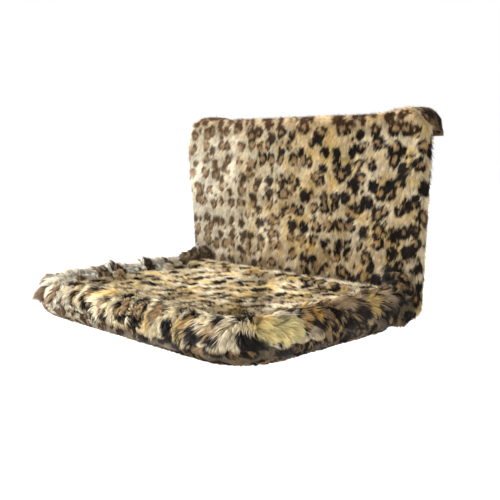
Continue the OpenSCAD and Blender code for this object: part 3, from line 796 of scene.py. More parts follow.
def back_shell():
    """The back's backing cloth: a grid drawn to the outline, its edge turned back and hemmed behind."""
    obj, u, v = grid("back_cover_cloth", 84, 56)
    v = np.sin(v * math.pi / 2) * 0.35 + v * 0.65
    low, high = BACK_LOW.z + BACK_NAP, BACK_HIGH.z - BACK_NAP
    z = low + (high - low) * (v + 1) / 2
    corner = np.where(u < 0, LEFT_TOP_R, TOP_R)
    bulge = np.clip(-u, 0, 1) * LEFT_BULGE * np.exp(-(((z - BULGE_Z) / BULGE_RUN) ** 2))
    x = u * (back_half(z + BACK_NAP * v, corner, PLUSH_LOW_R) - BACK_NAP) - bulge
    z = z - (1 - lift(x)) * HOOK_LIFT * np.clip((v - 0.2) / 0.8, 0, 1) ** 2
    # The edge's rounding, by how far a point is from the outline
    gap = back_half(z, corner, PLUSH_LOW_R) - BACK_NAP + bulge - np.abs(x)
    gap = np.clip(np.minimum(gap, np.minimum(z - low, high - z)), 0, EDGE_R)
    y = BACK_FRONT + BACK_NAP + EDGE_R - np.sqrt(EDGE_R**2 - (EDGE_R - gap) ** 2)
    swell = np.maximum(0, 1 - (x / BACK_TOP_HALF) ** 2)
    y = y - CROWN * (swell * np.maximum(0, 1 - ((z - CROWN_Z) / CROWN_REACH) ** 2))
    y = y + 0.0013 * wave(xyz(x, y, z), 0.09, 3) * np.clip(gap / EDGE_R, 0, 1)
    move_points(obj.data, xyz(x, y, z))
    edit(obj)
    bpy.ops.mesh.select_mode(type="EDGE")
    bpy.ops.mesh.region_to_loop()
    rear = BACK_HIGH.y
    third = (rear - BACK_FRONT - BACK_NAP - EDGE_R) / 3
    for run in (third, third, third, 0.0004):
        bpy.ops.mesh.extrude_region_move(TRANSFORM_OT_translate={"value": (0, run, 0)})
    bpy.ops.transform.resize(value=(0.97, 1, 0.95), center_override=(0, rear, (low + high) / 2))
    bpy.ops.object.mode_set(mode="OBJECT")
    outward(obj)
    apply(obj, "SUBSURF", levels=1, render_levels=1)
    smooth(obj)
    return obj


def flap_sway(x):
    """How far the hanging flap sways in and out along its width."""
    return 0.0008 * wave(xyz(x, 0, 0), 0.11, 9)


def flap_shell():
    """The flap: a sheet over the hooks from the cover's top edge, hanging behind to its hem."""
    obj, u, v = grid("hook_flap_cloth", 96, 26)
    nap = BACK_NAP * 0.6
    start, rear = BACK_HIGH.y - 0.004, FLAP_HIGH.y - nap
    flat = rear - FLAP_TURN_R - start
    arc = FLAP_TURN_R * math.pi / 2
    x = u * (BACK_TOP_HALF - nap)
    corner = np.where(u < 0, LEFT_TOP_R, TOP_R)
    past = np.clip((np.abs(x) - (BACK_TOP_HALF - corner)) / (corner - nap), 0, 1)
    top = BACK_HIGH.z - nap - (1 - lift(x)) * HOOK_LIFT - (corner - nap) * (1 - np.sqrt(1 - past**2))
    at = (v + 1) / 2 * (flat + arc + top - FLAP_TURN_R - FLAP_LOW.z)
    angle = np.clip((at - flat) / FLAP_TURN_R, 0, math.pi / 2)
    hung = np.maximum(at - flat - arc, 0)
    y = start + np.minimum(at, flat) + FLAP_TURN_R * np.sin(angle) + flap_sway(x) * (hung / 0.03)
    z = top - FLAP_TURN_R * (1 - np.cos(angle)) - hung
    move_points(obj.data, xyz(x, y, z))
    face_along(obj, 2)
    smooth(obj)
    return obj


def rim_roll(end_inset=0.002):
    """The roll along the hoop, closed and round at its ends, with a seam between its long and short pile."""
    steps_arm, steps_bend, steps_front = 26, 20, 48
    stations = []
    for i in range(steps_arm):
        stations.append((-SIDE_X, RIM_END - end_inset - (ARM_LEN - end_inset) * i / steps_arm, math.pi))
    for i in range(steps_bend):
        a = math.pi / 2 * i / steps_bend
        stations.append((-BEND_X - BEND_R * math.cos(a), BEND_Y - BEND_R * math.sin(a), math.pi + a))
    for i in range(steps_front + 1):
        stations.append((-BEND_X + FRONT_LEN * i / steps_front, HOOP_Y, math.pi * 1.5))
    for i in range(1, steps_bend + 1):
        a = math.pi / 2 * i / steps_bend
        stations.append((BEND_X + BEND_R * math.sin(a), BEND_Y - BEND_R * math.cos(a), math.pi * 1.5 + a))
    for i in range(1, steps_arm + 1):
        stations.append((SIDE_X, BEND_Y + (ARM_LEN - end_inset) * i / steps_arm, math.pi * 2))
    count = len(stations) - 1
    obj, u, v = grid("rim_cover_cloth", count, 48)
    i = np.rint((u + 1) / 2 * count).astype(int)
    turn = (v + 1) * math.pi
    table = np.array(stations)
    cx, cy, out = table[i, 0], table[i, 1], table[i, 2]
    along = np.minimum(i, count - i) * (ARM_LEN / steps_arm)
    reach = np.concatenate([[0], np.cumsum(np.hypot(np.diff(table[:, 0]), np.diff(table[:, 1])))])
    seam = seam_turn((reach - reach[-1] / 2)[i])
    cap = np.clip(along / RIM_END_RUN, 0, 1)
    round_turn = (turn + math.pi) % (2 * math.pi) - math.pi
    past = np.clip((round_turn - seam) * RIM_R / SEAM_RUN, -1, 1)
    inset = SHORT_NAP + (RIM_NAP - SHORT_NAP) * (past + 1) / 2 + SEAM_GROOVE * (1 - past**2)
    r = (RIM_R - inset) * np.sqrt(np.clip(1 - (1 - cap) ** 2, 0, 1))
    lump = wave(xyz(cx, cy, np.sin(turn) * 0.02), 0.07, 5)
    r = r * (1 + 0.04 * lump * np.clip(past + 1, 0, 1))
    x = cx + r * np.cos(turn) * np.cos(out)
    y = cy + r * np.cos(turn) * np.sin(out)
    z = HOOP_Z + r * np.sin(turn) - RIM_SLACK * cap * np.clip(-np.sin(turn), 0, 1) ** 2
    move_points(obj.data, xyz(x, y, z))
    outward(obj)
    smooth(obj)
    return obj


def surface_shell():
    """The sleeping surface's cloth, slung between the rim and the fold."""
    obj, u, v = grid("sleeping_surface_cloth", 72, 48)
    half = SURFACE_HIGH.x + 0.002
    mid_y = (SURFACE_HIGH.y + SURFACE_LOW.y) / 2
    reach = (SURFACE_HIGH.y - SURFACE_LOW.y) / 2
    r = BEND_R - RIM_R + 0.012
    y = mid_y + v * reach
    near = np.clip((SURFACE_LOW.y + r - y) / r, 0, 1)
    x = u * (half - r * (1 - np.sqrt(np.clip(1 - near**2, 0, 1))) * np.clip(-v, 0, 1))
    sag = (1 - (x / half) ** 2) * (1 - v**2)
    depth = SURFACE_HIGH.z - SURFACE_LOW.z - 0.006
    edge = np.clip((np.maximum(np.abs(u), -v) - 0.93) / 0.07, 0, 1)
    z = SURFACE_HIGH.z - SEAT_NAP - depth * sag - 0.003 * edge
    z = z + 0.0012 * wave(xyz(x, y, 0), 0.08, 21) * (1 - edge)
    move_points(obj.data, xyz(x, y, z))
    face_along(obj, 2)
    apply(obj, "SOLIDIFY", thickness=CLOTH_T, offset=-1)
    smooth(obj)
    return obj


def new_piece(name, mesh, material, parent):
    """A child piece, which rides with its parent."""
    obj = new_object(name, mesh)
    paint(obj, material)
    obj.parent = parent
    return obj


def node_copy(node, name):
    """A free copy of a CAD node's mesh, to be worked on."""
    obj = twin(nodes[node])
    obj.parent = None
    for key in list(obj.keys()):
        del obj[key]
    obj.name = name
    obj.data.name = name
    return obj


def hull_copy(node, name, voxel, inset, smoothing=6):
    """The outer form of a soft CAD solid, evenly meshed, drawn in by the pile's height and rounded."""
    obj = node_copy(node, name)
    edit(obj)
    bpy.ops.mesh.remove_doubles(threshold=1e-5)
    bpy.ops.mesh.convex_hull()
    bpy.ops.object.mode_set(mode="OBJECT")
    apply(obj, "REMESH", mode="VOXEL", voxel_size=voxel)
    apply(obj, "SMOOTH", factor=0.5, iterations=smoothing)
    move_points(obj.data, points_of(obj.data) - normals_of(obj.data) * inset)
    smooth(obj)
    return obj


def plain_copy(node, name, voxel, lump=0.0, grain=0.03, smoothing=3):
    """An inner soft piece: its CAD solid remeshed, softened and a little uneven."""
    obj = node_copy(node, name)
    outward(obj)
    apply(obj, "REMESH", mode="VOXEL", voxel_size=voxel)
    apply(obj, "SMOOTH", factor=0.5, iterations=smoothing)
    if lump:
        co = points_of(obj.data)
        shift = (wave(co, grain, 31) - 1) * 0.5 * lump
        move_points(obj.data, co + normals_of(obj.data) * shift[:, None])
    smooth(obj)
    return obj


# The creases drawn into a pocket's cloth: how many in half a turn, and how deep
CREASES = 5.5
CREASE_DEPTH = 0.0052
# How far a pocket's cloth flares up and inwards where it meets the back, and over what depth
FLARE_UP = 0.018
FLARE_IN = 0.010
FLARE_RUN = 0.022


def pocket_shell(side, node):
    """The gathered corner round a hinge: creases drawn towards the arm, and a slack foot."""
    obj = hull_copy(node, node + "_cloth", 0.0018, 0.0)
    co = points_of(obj.data)
    n = normals_of(obj.data)
    centre = np.array([side * (SIDE_X - 0.004), POCKET_LOW.y + 0.010, HOOP_Z + 0.004])
    d = co - centre
    fold = np.arctan2(d[:, 2], side * d[:, 0] * 0.8 - d[:, 1] * 0.6)
    reach = np.clip(np.linalg.norm(d, axis=1) / 0.016 - 0.4, 0, 1)
    crease = np.abs(np.sin(fold * CREASES + 1.6 * wave(co, 0.03, 12) + 0.7 * side))
    depth = CREASE_DEPTH * (1 - crease**0.7) * reach + 0.0013 * wave(co, 0.012, 14)
    low = np.clip((HOOP_Z - 0.008 - co[:, 2]) / 0.012, 0, 1)
    keep = np.clip((BACK_FRONT - 0.002 - co[:, 1]) / 0.004, 0, 1)
    shift = (0.0014 - 0.0010 * low - depth) * keep
    co = co + n * shift[:, None]
    near = np.clip((co[:, 1] - BACK_FRONT + FLARE_RUN) / FLARE_RUN, 0, 1) ** 2
    middle = np.array([side * (POCKET_LOW.x + POCKET_HIGH.x) / 2, (POCKET_LOW.z + POCKET_HIGH.z) / 2])
    spread = unit(co[:, [0, 2]] - middle)
    up, inwards = spread[:, 1], -spread[:, 0] * side
    grow = FLARE_UP * np.clip(up, 0, 1) + FLARE_IN * np.clip(inwards, 0, 1)
    grow = grow * near * np.where(inwards < -0.3, 0.5, 1.0)
    co[:, 0] += np.minimum(spread[:, 0] * side, 0.2) * side * grow
    co[:, 2] += up * grow
    move_points(obj.data, co)
    return obj


def scatter(obj, spacing, seed, keep=None):
    """Places spread evenly over a mesh, with their normals."""
    mesh = obj.data
    mesh.calc_loop_triangles()
    tri = np.empty(len(mesh.loop_triangles) * 3, np.int32)
    mesh.loop_triangles.foreach_get("vertices", tri)
    tri = tri.reshape(-1, 3)
    co, normal = points_of(mesh), normals_of(mesh)
    a, b, c = co[tri[:, 0]], co[tri[:, 1]], co[tri[:, 2]]
    if keep is not None:
        mask = keep((a + b + c) / 3, (normal[tri[:, 0]] + normal[tri[:, 1]] + normal[tri[:, 2]]) / 3)
        tri, a, b, c = tri[mask], a[mask], b[mask], c[mask]
    area = np.linalg.norm(np.cross(b - a, c - a), axis=1) / 2
    total = area.cumsum()
    rng = np.random.default_rng(seed)
    count = int(total[-1] / spacing**2)
    at = (np.arange(count) + rng.random(count)) / count * total[-1]
    t = np.minimum(np.searchsorted(total, at), len(tri) - 1)
    s, r = np.sqrt(rng.random(count)), rng.random(count)
    w = np.stack([1 - s, s * (1 - r), s * r], 1)
    p = (co[tri[t]] * w[:, :, None]).sum(1)
    n = (normal[tri[t]] * w[:, :, None]).sum(1)
    return p, n / np.linalg.norm(n, axis=1, keepdims=True), rng


def strand_mesh(name, rings, tip, cloth, tone):
    """A mesh of three-sided strands from their rings of three points, tips, places on the cloth and tones."""
    count, levels = len(tip), len(rings)
    points = [point for ring in rings for point in ring] + [tip]
    per = len(points)
    last = levels * 3 - 3
    faces = []
    for first in range(0, last, 3):
        for k in range(3):
            a, b = first + k, first + (k + 1) % 3
            faces += [(a, b, b + 3), (a, b + 3, a + 3)]
    faces += [(last + k, last + (k + 1) % 3, per - 1) for k in range(3)]
    index = (np.array(faces)[None] + (np.arange(count) * per)[:, None, None]).reshape(-1, 3)
    mesh = bpy.data.meshes.new(name)
    mesh.vertices.add(count * per)
    mesh.vertices.foreach_set("co", np.stack(points, 1).astype(np.float32).ravel())
    mesh.loops.add(index.size)
    mesh.loops.foreach_set("vertex_index", index.astype(np.int32).ravel())
    mesh.polygons.add(len(index))
    mesh.polygons.foreach_set("loop_start", np.arange(0, index.size, 3, dtype=np.int32))
    mesh.polygons.foreach_set("use_smooth", np.ones(len(index), bool))
    mesh.update(calc_edges=True)
    keep_place(mesh, np.repeat(cloth, per, 0))
    keep_value(mesh, "tone", np.repeat(tone, per))
    keep_value(mesh, "along", np.tile([0.0] * 3 + [0.5] * last + [1.0], count))
    # The map for baking: each strand a small triangle at its place on the cloth
    low, high = cloth[:, :2].min(0), cloth[:, :2].max(0)
    span = max(*(high - low), 1e-6)
    flat = (cloth[:, :2] - low) / span * 0.98 + 0.01
    reach = 0.0009 / span
    corner = [(math.cos(k * 2.094) * reach, math.sin(k * 2.094) * reach) for k in range(3)]
    shift = np.array(corner * levels + [(0.0, 0.0)])
    shift[3:6] *= 0.6 if levels > 1 else 1
    per_vertex = (flat[:, None, :] + shift[None]).reshape(-1, 2)
    layer = mesh.uv_layers.new(name="OFBake")
    layer.data.foreach_set("uv", per_vertex[index.ravel()].astype(np.float32).ravel())
    return mesh


def pile(name, parent, roots, comb, cloth_of, material, length, width, lean, bend=0.0, swirl=0.4,
         clump=0.0, clump_every=30, levels=1, trim=None):
    """One mesh of fur: tapered three-sided strands, straight or bent, each with its place on the cloth.

    lean is the angle from the surface's normal at the root, and bend what is added to it at the tip. comb
    gives the way that the strands lie, and swirl how far they stray from it. clump is how far the tips of
    clump_every strands are drawn together, levels how many pieces a strand has, and trim its share of length.
    """
    p, n, rng = roots
    count = len(p)
    flow = comb(p, n)
    flow = unit(flow - n * (flow * n).sum(1)[:, None])
    other = np.cross(n, flow)
    turn = swirl * wave(p, 0.035, 17) + rng.normal(0, 0.16, count)
    flow = flow * np.cos(turn)[:, None] + other * np.sin(turn)[:, None]

    def leaning(angle):
        return n * np.cos(angle)[:, None] + flow * np.sin(angle)[:, None]

    tilt = np.clip(np.radians(lean) + rng.normal(0, 0.12, count), 0.05, 1.35)
    tip_tilt = np.clip(tilt + np.radians(bend) + rng.normal(0, 0.1, count), 0.05, 1.5)
    start, end = leaning(tilt), leaning(tip_tilt)
    size = length * (1 + STRAND_UNEVEN * rng.normal(0, 1, count).clip(-2, 1.6))
    if trim is not None:
        size = size * trim(p)
    foot = p - n * ROOT_DEPTH
    mid = foot + start * (size * 0.5)[:, None]
    tip = mid + end * (size * 0.5)[:, None]
    shared = np.zeros(count)
    if clump:
        heads = np.arange(0, count, clump_every)
        tree = KDTree(len(heads))
        for i, h in enumerate(heads):
            tree.insert(p[h], i)
        tree.balance()
        nearest = heads[np.array([tree.find(q)[1] for q in p])]
        pull = clump * (0.7 + 0.3 * rng.random(count))
        shared = rng.normal(0.0, 0.2, len(heads))[np.searchsorted(heads, nearest)]
        tip = tip + (tip[nearest] - tip) * pull[:, None]
        mid = mid + (mid[nearest] - mid) * (pull * 0.45)[:, None]
    side = unit(np.cross(start, flow + 0.3 * n))
    up = unit(np.cross(start, side))
    spin = rng.random(count) * 2 * math.pi
    half = width * (0.75 + 0.5 * rng.random(count)) / 2

    def ring(centre, share):
        angles = [spin + k * 2 * math.pi / 3 for k in range(3)]
        around = [side * np.cos(a)[:, None] + up * np.sin(a)[:, None] for a in angles]
        return [centre + way * (half * share)[:, None] for way in around]

    rings = [ring(centre, share) for centre, share in ((foot, 1.0), (mid, 0.78))[:levels]]
    tone = np.clip(rng.normal(0.5, 0.18, count) + shared, 0, 1)
    new_piece(name, strand_mesh(name, rings, tip, cloth_of(p), tone), material, parent)


def stitches(name, path, out, parent, closed=False, pitch=STITCH):
    """Running stitches along a path, each a short arched thread that dips into the cloth at its ends.

    out is the way out of the cloth, one for each point of the path.
    """
    if closed:
        path, out = np.vstack([path, path[:1]]), np.vstack([out, out[:1]])
    run = np.concatenate([[0], np.cumsum(np.linalg.norm(np.diff(path, axis=0), axis=1))])
    count = int(run[-1] / pitch)
    rings, sides = 5, 5
    share = np.linspace(-1, 1, rings)
    at = (np.arange(count)[:, None] + 0.5 + share[None] * 0.36) * run[-1] / count
    middle = np.stack([np.interp(at, run, path[:, k]) for k in range(3)], -1)
    up = np.stack([np.interp(at, run, out[:, k]) for k in range(3)], -1)
    up = unit(up.reshape(-1, 3)).reshape(count, rings, 3)
    along = unit((middle[:, -1] - middle[:, 0]))[:, None, :]
    across = np.cross(along, up)
    middle = middle + up * (THREAD_R * (1.0 - 2.2 * share**4))[None, :, None]
    angle = np.arange(sides) * 2 * math.pi / sides
    wide = THREAD_R * np.sqrt(1 - 0.75 * share**4)
    ring = np.cos(angle)[:, None] * up[:, :, None] + np.sin(angle)[:, None] * across[:, :, None]
    co = (middle[:, :, None] + ring * wide[None, :, None, None]).reshape(-1, 3)
    faces = []
    for first in range(0, (rings - 1) * sides, sides):
        for k in range(sides):
            after = first + (k + 1) % sides
            faces.append((first + k, after, after + sides, first + k + sides))
    per = rings * sides
    ends = [tuple(range(sides))[::-1], tuple(range(per - sides, per))]
    mesh = bpy.data.meshes.new(name)
    made = [tuple(v + i * per for v in face) for i in range(count) for face in faces + ends]
    mesh.from_pydata(co.tolist(), [], made)
    obj = new_piece(name, mesh, THREAD, parent)
    outward(obj)
    smooth(obj)


def one_way(*way):
    """A pile combed one way all over."""
    def comb(p, n):
        return np.tile(way, (len(p), 1))
    return comb


def down(p, n):
    """The back's pile falls, forwards over the top edge and straight down below it, and wavers a little."""
    return xyz(0.2 * wave(p, 0.12, 2), -0.5, -1.0)


def rim_flow(p, n):
    """The rim's pile falls outwards and down and a little along it, and inwards on its inner side."""
    _, turn, out = rim_place(p)
    along = xyz(-out[:, 1], out[:, 0], out[:, 2])
    way = out + np.array([0, 0, -0.9])
    way = way + along * (0.35 + 1.25 * wave(p, 0.060, 8))[:, None]
    inner = turn > 2.0
    way[inner] = -out[inner] * 0.8 + along[inner] * 0.4 + np.array([0, 0, -0.6])
    return way


def rim_trim(p):
    """Share of the long pile's length: shorter just above the seam, so that it ends there."""
    s, turn, _ = rim_place(p)
    above = (turn - seam_turn(s)) * RIM_R
    return (0.40 + 0.60 * np.clip(above / 0.018, 0, 1)) * (1 + 0.3 * wave(p, 0.022, 23))


def seat_flow(p, n):
    """The hollow's pile lies forwards and wavers."""
    return xyz(wave(p, 0.12, 4), -1 + wave(p, 0.15, 6) * 0.6, 0)


def dress(obj, body, node, material, cloth_of=None):
    """Finishes a soft piece, paints it, rides it on its body and hides the CAD solid that it stands for."""
    if cloth_of:
        keep_cloth(obj, cloth_of)
    paint(obj, material)
    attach(obj, body)
    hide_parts(node)
    return obj


def make_back():
    shell = dress(back_shell(), "back", "back_cover", BACK_PLUSH, back_cloth)
    thirds = (-1, BACK_LOW.x / 3, BACK_HIGH.x / 3, 1)
    for i, name in enumerate(("left", "middle", "right")):
        def inside(p, n):
            return (n[:, 1] < -0.35) & (p[:, 0] > thirds[i]) & (p[:, 0] <= thirds[i + 1])
        roots = scatter(shell, 0.00082, 40 + i, inside)
        pile("back_pile_" + name, shell, roots, down, back_cloth, BACK_PLUSH,
             length=0.0080, width=0.0010, lean=61, swirl=0.35, clump=0.42, clump_every=26)

    def edge(p, n):
        return (n[:, 1] >= -0.35) & (n[:, 1] < 0.6)

    pile("back_pile_edge", shell, scatter(shell, 0.00092, 45, edge), down, back_cloth, BACK_PLUSH,
         length=0.0078, width=0.0010, lean=61, swirl=0.3)


def flap_trim(p):
    """Share of the flap's pile length: cut short at the hem, so that it ends on a straight line."""
    return 0.35 + 0.65 * np.clip((p[:, 2] - FLAP_LOW.z - 0.001) / 0.004, 0, 1)


def make_flap():
    cloth = flap_shell()
    base = twin(cloth)
    apply(cloth, "SOLIDIFY", thickness=FLAP_T, offset=-1)
    dress(cloth, "back", "hook_flap", FLAP_PLUSH, flap_cloth)
    pile("hook_flap_pile", cloth, scatter(base, 0.00080, 50), one_way(0.0, 0.5, -1.0), flap_cloth, FLAP_PLUSH,
         length=0.0046, width=0.0009, lean=70, swirl=0.3, trim=flap_trim)
    half = BACK_TOP_HALF - TOP_R * 0.5
    x = np.linspace(-half, half, 160)
    path = xyz(x, FLAP_INNER_Y + flap_sway(x), FLAP_LOW.z + HEM)
    stitches("hook_flap_hem_stitches", path, np.tile((0.0, -1.0, 0.0), (len(x), 1)), cloth)
    bpy.data.objects.remove(base)


def pocket_flow(p, n):
    """A pocket's pile falls and leans forwards and back."""
    return xyz(0, -0.3 + 0.3 * wave(p, 0.02, 77), -1)


def make_pockets():
    def before_back(p, n):
        return p[:, 1] < BACK_FRONT - 0.001

    for side, node in ((1, "right_hinge_pocket"), (-1, "left_hinge_pocket")):
        shell = dress(pocket_shell(side, node), "back", node, POCKET_PLUSH, pocket_cloth)
        roots = scatter(shell, 0.00075, 60 + side, before_back)
        pile(node + "_pile", shell, roots, pocket_flow, pocket_cloth, POCKET_PLUSH,
             length=0.0062, width=0.0009, lean=66, swirl=1.1, clump=0.55)


def make_rim():
    shell = dress(rim_roll(), "seat", "rim_cover", RIM_PLUSH, rim_cloth)

    def below(p, n):
        s, turn, _ = rim_place(p)
        return (turn <= seam_turn(s)) & (turn > -RIM_TUCK)

    shell.data.materials.append(BELOW_RIM_PLUSH)
    short = below(points_of(shell.data), None)
    for face in shell.data.polygons:
        face.material_index = int(short[list(face.vertices)].all())
    cuts = np.linspace(-RIM_LEN / 2 - 0.01, RIM_LEN / 2 + 0.01, 6)
    for i, name in enumerate(("left_arm", "left_bend", "front", "right_bend", "right_arm")):
        def above(p, n):
            s, turn, _ = rim_place(p)
            return (turn > seam_turn(s)) & (turn < RIM_TUCK) & (s > cuts[i]) & (s <= cuts[i + 1])
        roots = scatter(shell, 0.00118, 70 + i, above)
        pile("rim_pile_" + name, shell, roots, rim_flow, rim_cloth, RIM_PLUSH,
             length=0.0155, width=0.0012, lean=50, bend=32, swirl=0.5, clump=0.62, clump_every=42,
             levels=2, trim=rim_trim)
    pile("rim_pile_under", shell, scatter(shell, 0.0010, 80, below), rim_flow, rim_cloth, BELOW_RIM_PLUSH,
         length=0.0046, width=0.0010, lean=66, swirl=0.5, clump=0.4)


def make_surface():
    shell = dress(surface_shell(), "seat", "sleeping_surface", SEAT_PLUSH, seat_cloth)

    def top(p, n):
        return n[:, 2] > 0.5

    pile("sleeping_surface_pile", shell, scatter(shell, 0.00116, 90, top), seat_flow, seat_cloth, SEAT_PLUSH,
         length=0.0085, width=0.0012, lean=58, swirl=0.6, clump=0.4)


def make_roll():
    shell = hull_copy("rear_roll", "rear_roll_cloth", 0.0028, 0.0018)
    dress(shell, "seat", "rear_roll", SEAT_PLUSH, roll_cloth)

    def up(p, n):
        return (n[:, 2] > 0.15) & (p[:, 1] < BACK_FRONT - 0.003)

    roots = scatter(shell, 0.0010, 95, up)
    pile("rear_roll_pile", shell, roots, one_way(0.0, -1.0, -0.1), roll_cloth, SEAT_PLUSH,
         length=0.0070, width=0.0010, lean=62, swirl=0.4)


def make_underside():
    """The flat panel under the seat, with a short nap."""
    obj = hull_copy("underside_panel", "underside_panel_cloth", 0.0026, 0.0002, smoothing=2)
    dress(obj, "seat", "underside_panel", UNDER_PLUSH, seat_cloth)

    def low(p, n):
        return n[:, 2] < -0.5

    roots = scatter(obj, 0.0017, 97, low)
    pile("underside_pile", obj, roots, one_way(0.2, -1.0, 0.0), seat_cloth, UNDER_PLUSH,
         length=0.0040, width=0.0012, lean=66, swirl=0.5)


def cut_out(obj, place, radius):
    """Cuts a round hole through a sheet along Y."""
    bpy.ops.object.select_all(action="DESELECT")
    bpy.ops.mesh.primitive_cylinder_add(vertices=48, radius=radius, depth=0.03, location=place,
                                        rotation=(math.pi / 2, 0, 0))
    cutter = bpy.context.object
    apply(obj, "BOOLEAN", operation="DIFFERENCE", object=cutter, solver="EXACT")
    bpy.data.objects.remove(cutter)


def make_lining():
    """The woven panel that closes the back: taut, with soft ripples, sewn all round and round the bumpers."""
    obj, u, v = grid("back_lining_panel", 110, 64)
    inset = BACK_TOP_HALF - LINING_HIGH.x
    z = LINING_LOW.z + (LINING_HIGH.z - LINING_LOW.z) * (v + 1) / 2
    x = u * (back_half(z) - inset)
    away = np.minimum(np.minimum(back_half(z) - inset - np.abs(x), z - LINING_LOW.z), LINING_HIGH.z - z)
    ripple = 0.0008 * wave(xyz(x * 0.4, 0, z * 1.6), 0.09, 61) + 0.0005 * wave(xyz(x, 0, z), 0.05, 62)
    y = LINING_HIGH.y - 0.0010 + np.clip(away / 0.020, 0, 1) * ripple
    # The groove that the stitches pull
    y = y - SEAM_PULL * np.exp(-((away - LINING_SEAM) / 0.0016) ** 2)
    move_points(obj.data, xyz(x, y, z))
    area = sum(face.area for face in obj.data.polygons)
    face_along(obj, 1)
    apply(obj, "SOLIDIFY", thickness=LINING_T, offset=-1)
    bumper_x, bumper_z = (BUMPER_LOW.x + BUMPER_HIGH.x) / 2, (BUMPER_LOW.z + BUMPER_HIGH.z) / 2
    hole = (BUMPER_HIGH.x - BUMPER_LOW.x) / 2 + 0.0004
    for side in (-1, 1):
        cut_out(obj, (side * bumper_x, LINING_HIGH.y, bumper_z), hole)
    smooth(obj, 40)
    dress(obj, "back", "back_lining", LINING_CLOTH)
    area = area - 2 * math.pi * hole**2

    # The seam's line, from the left foot over the top to the right foot and back along the bottom
    heights = np.linspace(LINING_LOW.z + LOW_R, LINING_HIGH.z - LINING_SEAM, 60)
    left = [(inset + LINING_SEAM - half, h) for h, half in zip(heights, back_half(heights))]
    right = [(-a, h) for a, h in reversed(left)]
    low_r = LOW_R - LINING_SEAM
    turn = np.linspace(0, math.pi / 2, 10)[1:-1]
    corner = [(right[-1][0] - low_r + low_r * math.cos(a), LINING_LOW.z + LOW_R - low_r * math.sin(a))
              for a in turn]
    outline = np.array(left + right + corner + [(-a, h) for a, h in reversed(corner)])
    path = xyz(outline[:, 0], LINING_HIGH.y - 0.0021, outline[:, 1])
    rear = np.tile((0.0, 1.0, 0.0), (len(path), 1))
    stitches("back_lining_stitches", path, rear, obj, closed=True)
    a = np.linspace(0, 2 * math.pi, 40, endpoint=False)
    for side, word in ((-1, "left"), (1, "right")):
        ring = xyz(side * bumper_x + HOLE_SEAM_R * np.cos(a), LINING_HIGH.y - 0.0010,
                   bumper_z + HOLE_SEAM_R * np.sin(a))
        stitches("bumper_hole_stitches_" + word, ring, rear[:40], obj, closed=True, pitch=0.0028)


def make_tape(node, name, material, facing):
    """Half of the closure: a woven strip with thick selvedges and its loops or hooks on one face."""
    low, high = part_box(node)
    long, wide = high.x - low.x, high.y - low.y
    middle_y = (low.y + high.y) / 2
    obj, u, v = grid(name, 158, 12)
    x = (low.x + high.x) / 2 + u * long / 2
    y = middle_y + v * wide / 2
    face = low.z + 0.0001 if facing > 0 else high.z - 0.0001 - TAPE_T
    selvedge = np.clip((np.abs(v) - 0.86) / 0.08, 0, 1)
    z = face + TAPE_T / 2 + 0.00012 * wave(xyz(x, y, 0), 0.03, 91) + 0.0001 * selvedge * facing
    move_points(obj.data, xyz(x, y, z))
    face_along(obj, 2, facing)
    ground = twin(obj)
    apply(obj, "SOLIDIFY", thickness=TAPE_T, offset=0)
    smooth(obj, 40)
    dress(obj, "seat", node, material)

    def inside(p, n):
        return np.abs(p[:, 1] - middle_y) < wide * 0.42

    roots = scatter(ground, 0.0016, 98, inside)
    pile(name + "_nap", obj, roots, one_way(1.0, 0.2, 0.0), seat_cloth, material,
         length=0.0006, width=0.0004, lean=30, bend=60, levels=2)
    bpy.data.objects.remove(ground)
    return obj


def make_closure():
    make_tape("closure_loop_tape", "closure_loop_strip", LOOP_TAPE, -1)
    outer = make_tape("closure_hook_tape", "closure_hook_strip", HOOK_TAPE, 1)
    low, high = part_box("closure_hook_tape")
    left, right, front, rear = low.x + TAPE_SEAM, high.x - TAPE_SEAM, low.y + TAPE_SEAM, high.y - TAPE_SEAM
    path = np.array([(x, y, low.z) for x, y in ((left, front), (right, front), (right, rear), (left, rear))])
    below = np.tile((0.0, 0.0, -1.0), (4, 1))
    stitches("closure_stitches", path, below, outer, closed=True, pitch=0.0034)


def make_inner():
    """Wadding and foam."""
    padding = plain_copy("back_padding", "back_padding_fill", 0.0035, 0.0016)
    dress(padding, "back", "back_padding", WADDING)
    pad = plain_copy("seat_pad", "seat_pad_fill", 0.0035, 0.0016)
    dress(pad, "seat", "seat_pad", WADDING)
    sleeve = plain_copy("rim_foam", "rim_foam_sleeve", 0.0024, smoothing=2)
    dress(sleeve, "seat", "rim_foam", FOAM)


def cad_finishes():
    """Finishes of the CAD nodes that stay."""
    for material, names in (
        (TUBE_PAINT, ("left_upright", "right_upright", "top_rail", "lower_rail", "left_hinge_bracket",
                      "right_hinge_bracket", "left_seat_arm", "right_seat_arm", "front_hoop",
                      "seat_rear_rail")),
        (ZINC, ("left_hook", "right_hook", "pivot_bolts", "pivot_nuts", "left_hinge_lug", "right_hinge_lug")),
        (VINYL, ("left_hook_pad", "right_hook_pad")),
        (RUBBER, ("left_bumper", "right_bumper")),
        (CAP_PLASTIC, ("foot_caps",)),
        (NYLON, ("pivot_spacers",)),
    ):
        for name in names:
            paint(nodes[name], material)


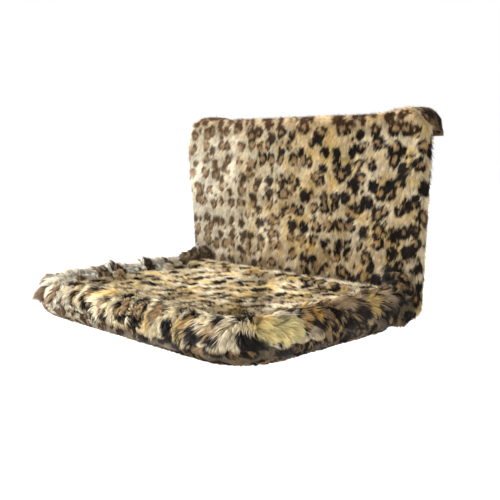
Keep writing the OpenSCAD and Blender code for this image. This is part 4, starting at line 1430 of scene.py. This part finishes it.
def floor():
    """A pale floor far below the bed, which glows so that it shows nearly white."""
    bpy.ops.object.select_all(action="DESELECT")
    bpy.ops.mesh.primitive_plane_add(size=40, location=(0, 0, 0))
    obj = bpy.context.object
    obj.name = "studio_floor"
    obj.data.transform(Matrix.Translation((0, 0, FLOOR_Z)))
    finish = Finish("studio_floor")
    finish.set(base_color=(0.82, 0.82, 0.82, 1), roughness=0.9)
    glow = finish.node("ShaderNodeEmission")
    finish.put(glow.inputs["Strength"], finish.times(finish.seen(), FLOOR_GLOW))
    both = finish.node("ShaderNodeAddShader")
    finish.put(both.inputs[0], finish.shader.outputs[0])
    finish.put(both.inputs[1], glow.outputs[0])
    finish.put(finish.tree.nodes["Material Output"].inputs["Surface"], both.outputs[0])
    paint(obj, finish.material)


def room_light():
    """A white room, which lights the bed a little less than it shows."""
    world = bpy.data.worlds.new("studio_room")
    bpy.context.scene.world = world
    world.use_nodes = True
    room = Nodes(world.node_tree)
    back = room.tree.nodes["Background"]
    room.put(back.inputs["Color"], (1, 1, 1, 1))
    room.put(back.inputs["Strength"], room.step(room.seen(), 0.0, 1.0, ROOM_LIGHT, 1.0))


def lamp(name, place, size, power, aim=(0, -0.15, -0.15)):
    data = bpy.data.lights.new(name, "AREA")
    data.shape = "DISK"
    data.size = size
    data.energy = power
    obj = new_object(name, data)
    obj.location = place
    obj.rotation_euler = (Vector(aim) - Vector(place)).to_track_quat("-Z", "Y").to_euler()


def camera():
    data = bpy.data.cameras.new("camera")
    data.lens = CAMERA_LENS
    data.sensor_width = 36
    data.clip_start = 0.01
    obj = new_object("camera", data)
    a, e = math.radians(CAMERA_AZIMUTH), math.radians(CAMERA_ELEVATION)
    back = Vector((math.sin(a) * math.cos(e), -math.cos(a) * math.cos(e), math.sin(e)))
    level = (-back).to_track_quat("-Z", "Y")
    obj.rotation_mode = "QUATERNION"
    roll = Matrix.Rotation(math.radians(CAMERA_ROLL), 4, "Z").to_quaternion()
    obj.rotation_quaternion = level @ roll
    obj.location = CAMERA_PLACE
    bpy.context.scene.camera = obj


def studio():
    floor()
    room_light()
    lamp("key_lamp", (-1.6, -1.9, 0.45), size=1.5, power=98)
    lamp("fill_lamp", (1.7, -1.3, 0.3), size=1.6, power=8)
    camera()
    bpy.context.scene.view_settings.view_transform = "Standard"


make_back()
make_flap()
make_pockets()
make_rim()
make_surface()
make_roll()
make_underside()
make_inner()
make_lining()
make_closure()
cad_finishes()
studio()
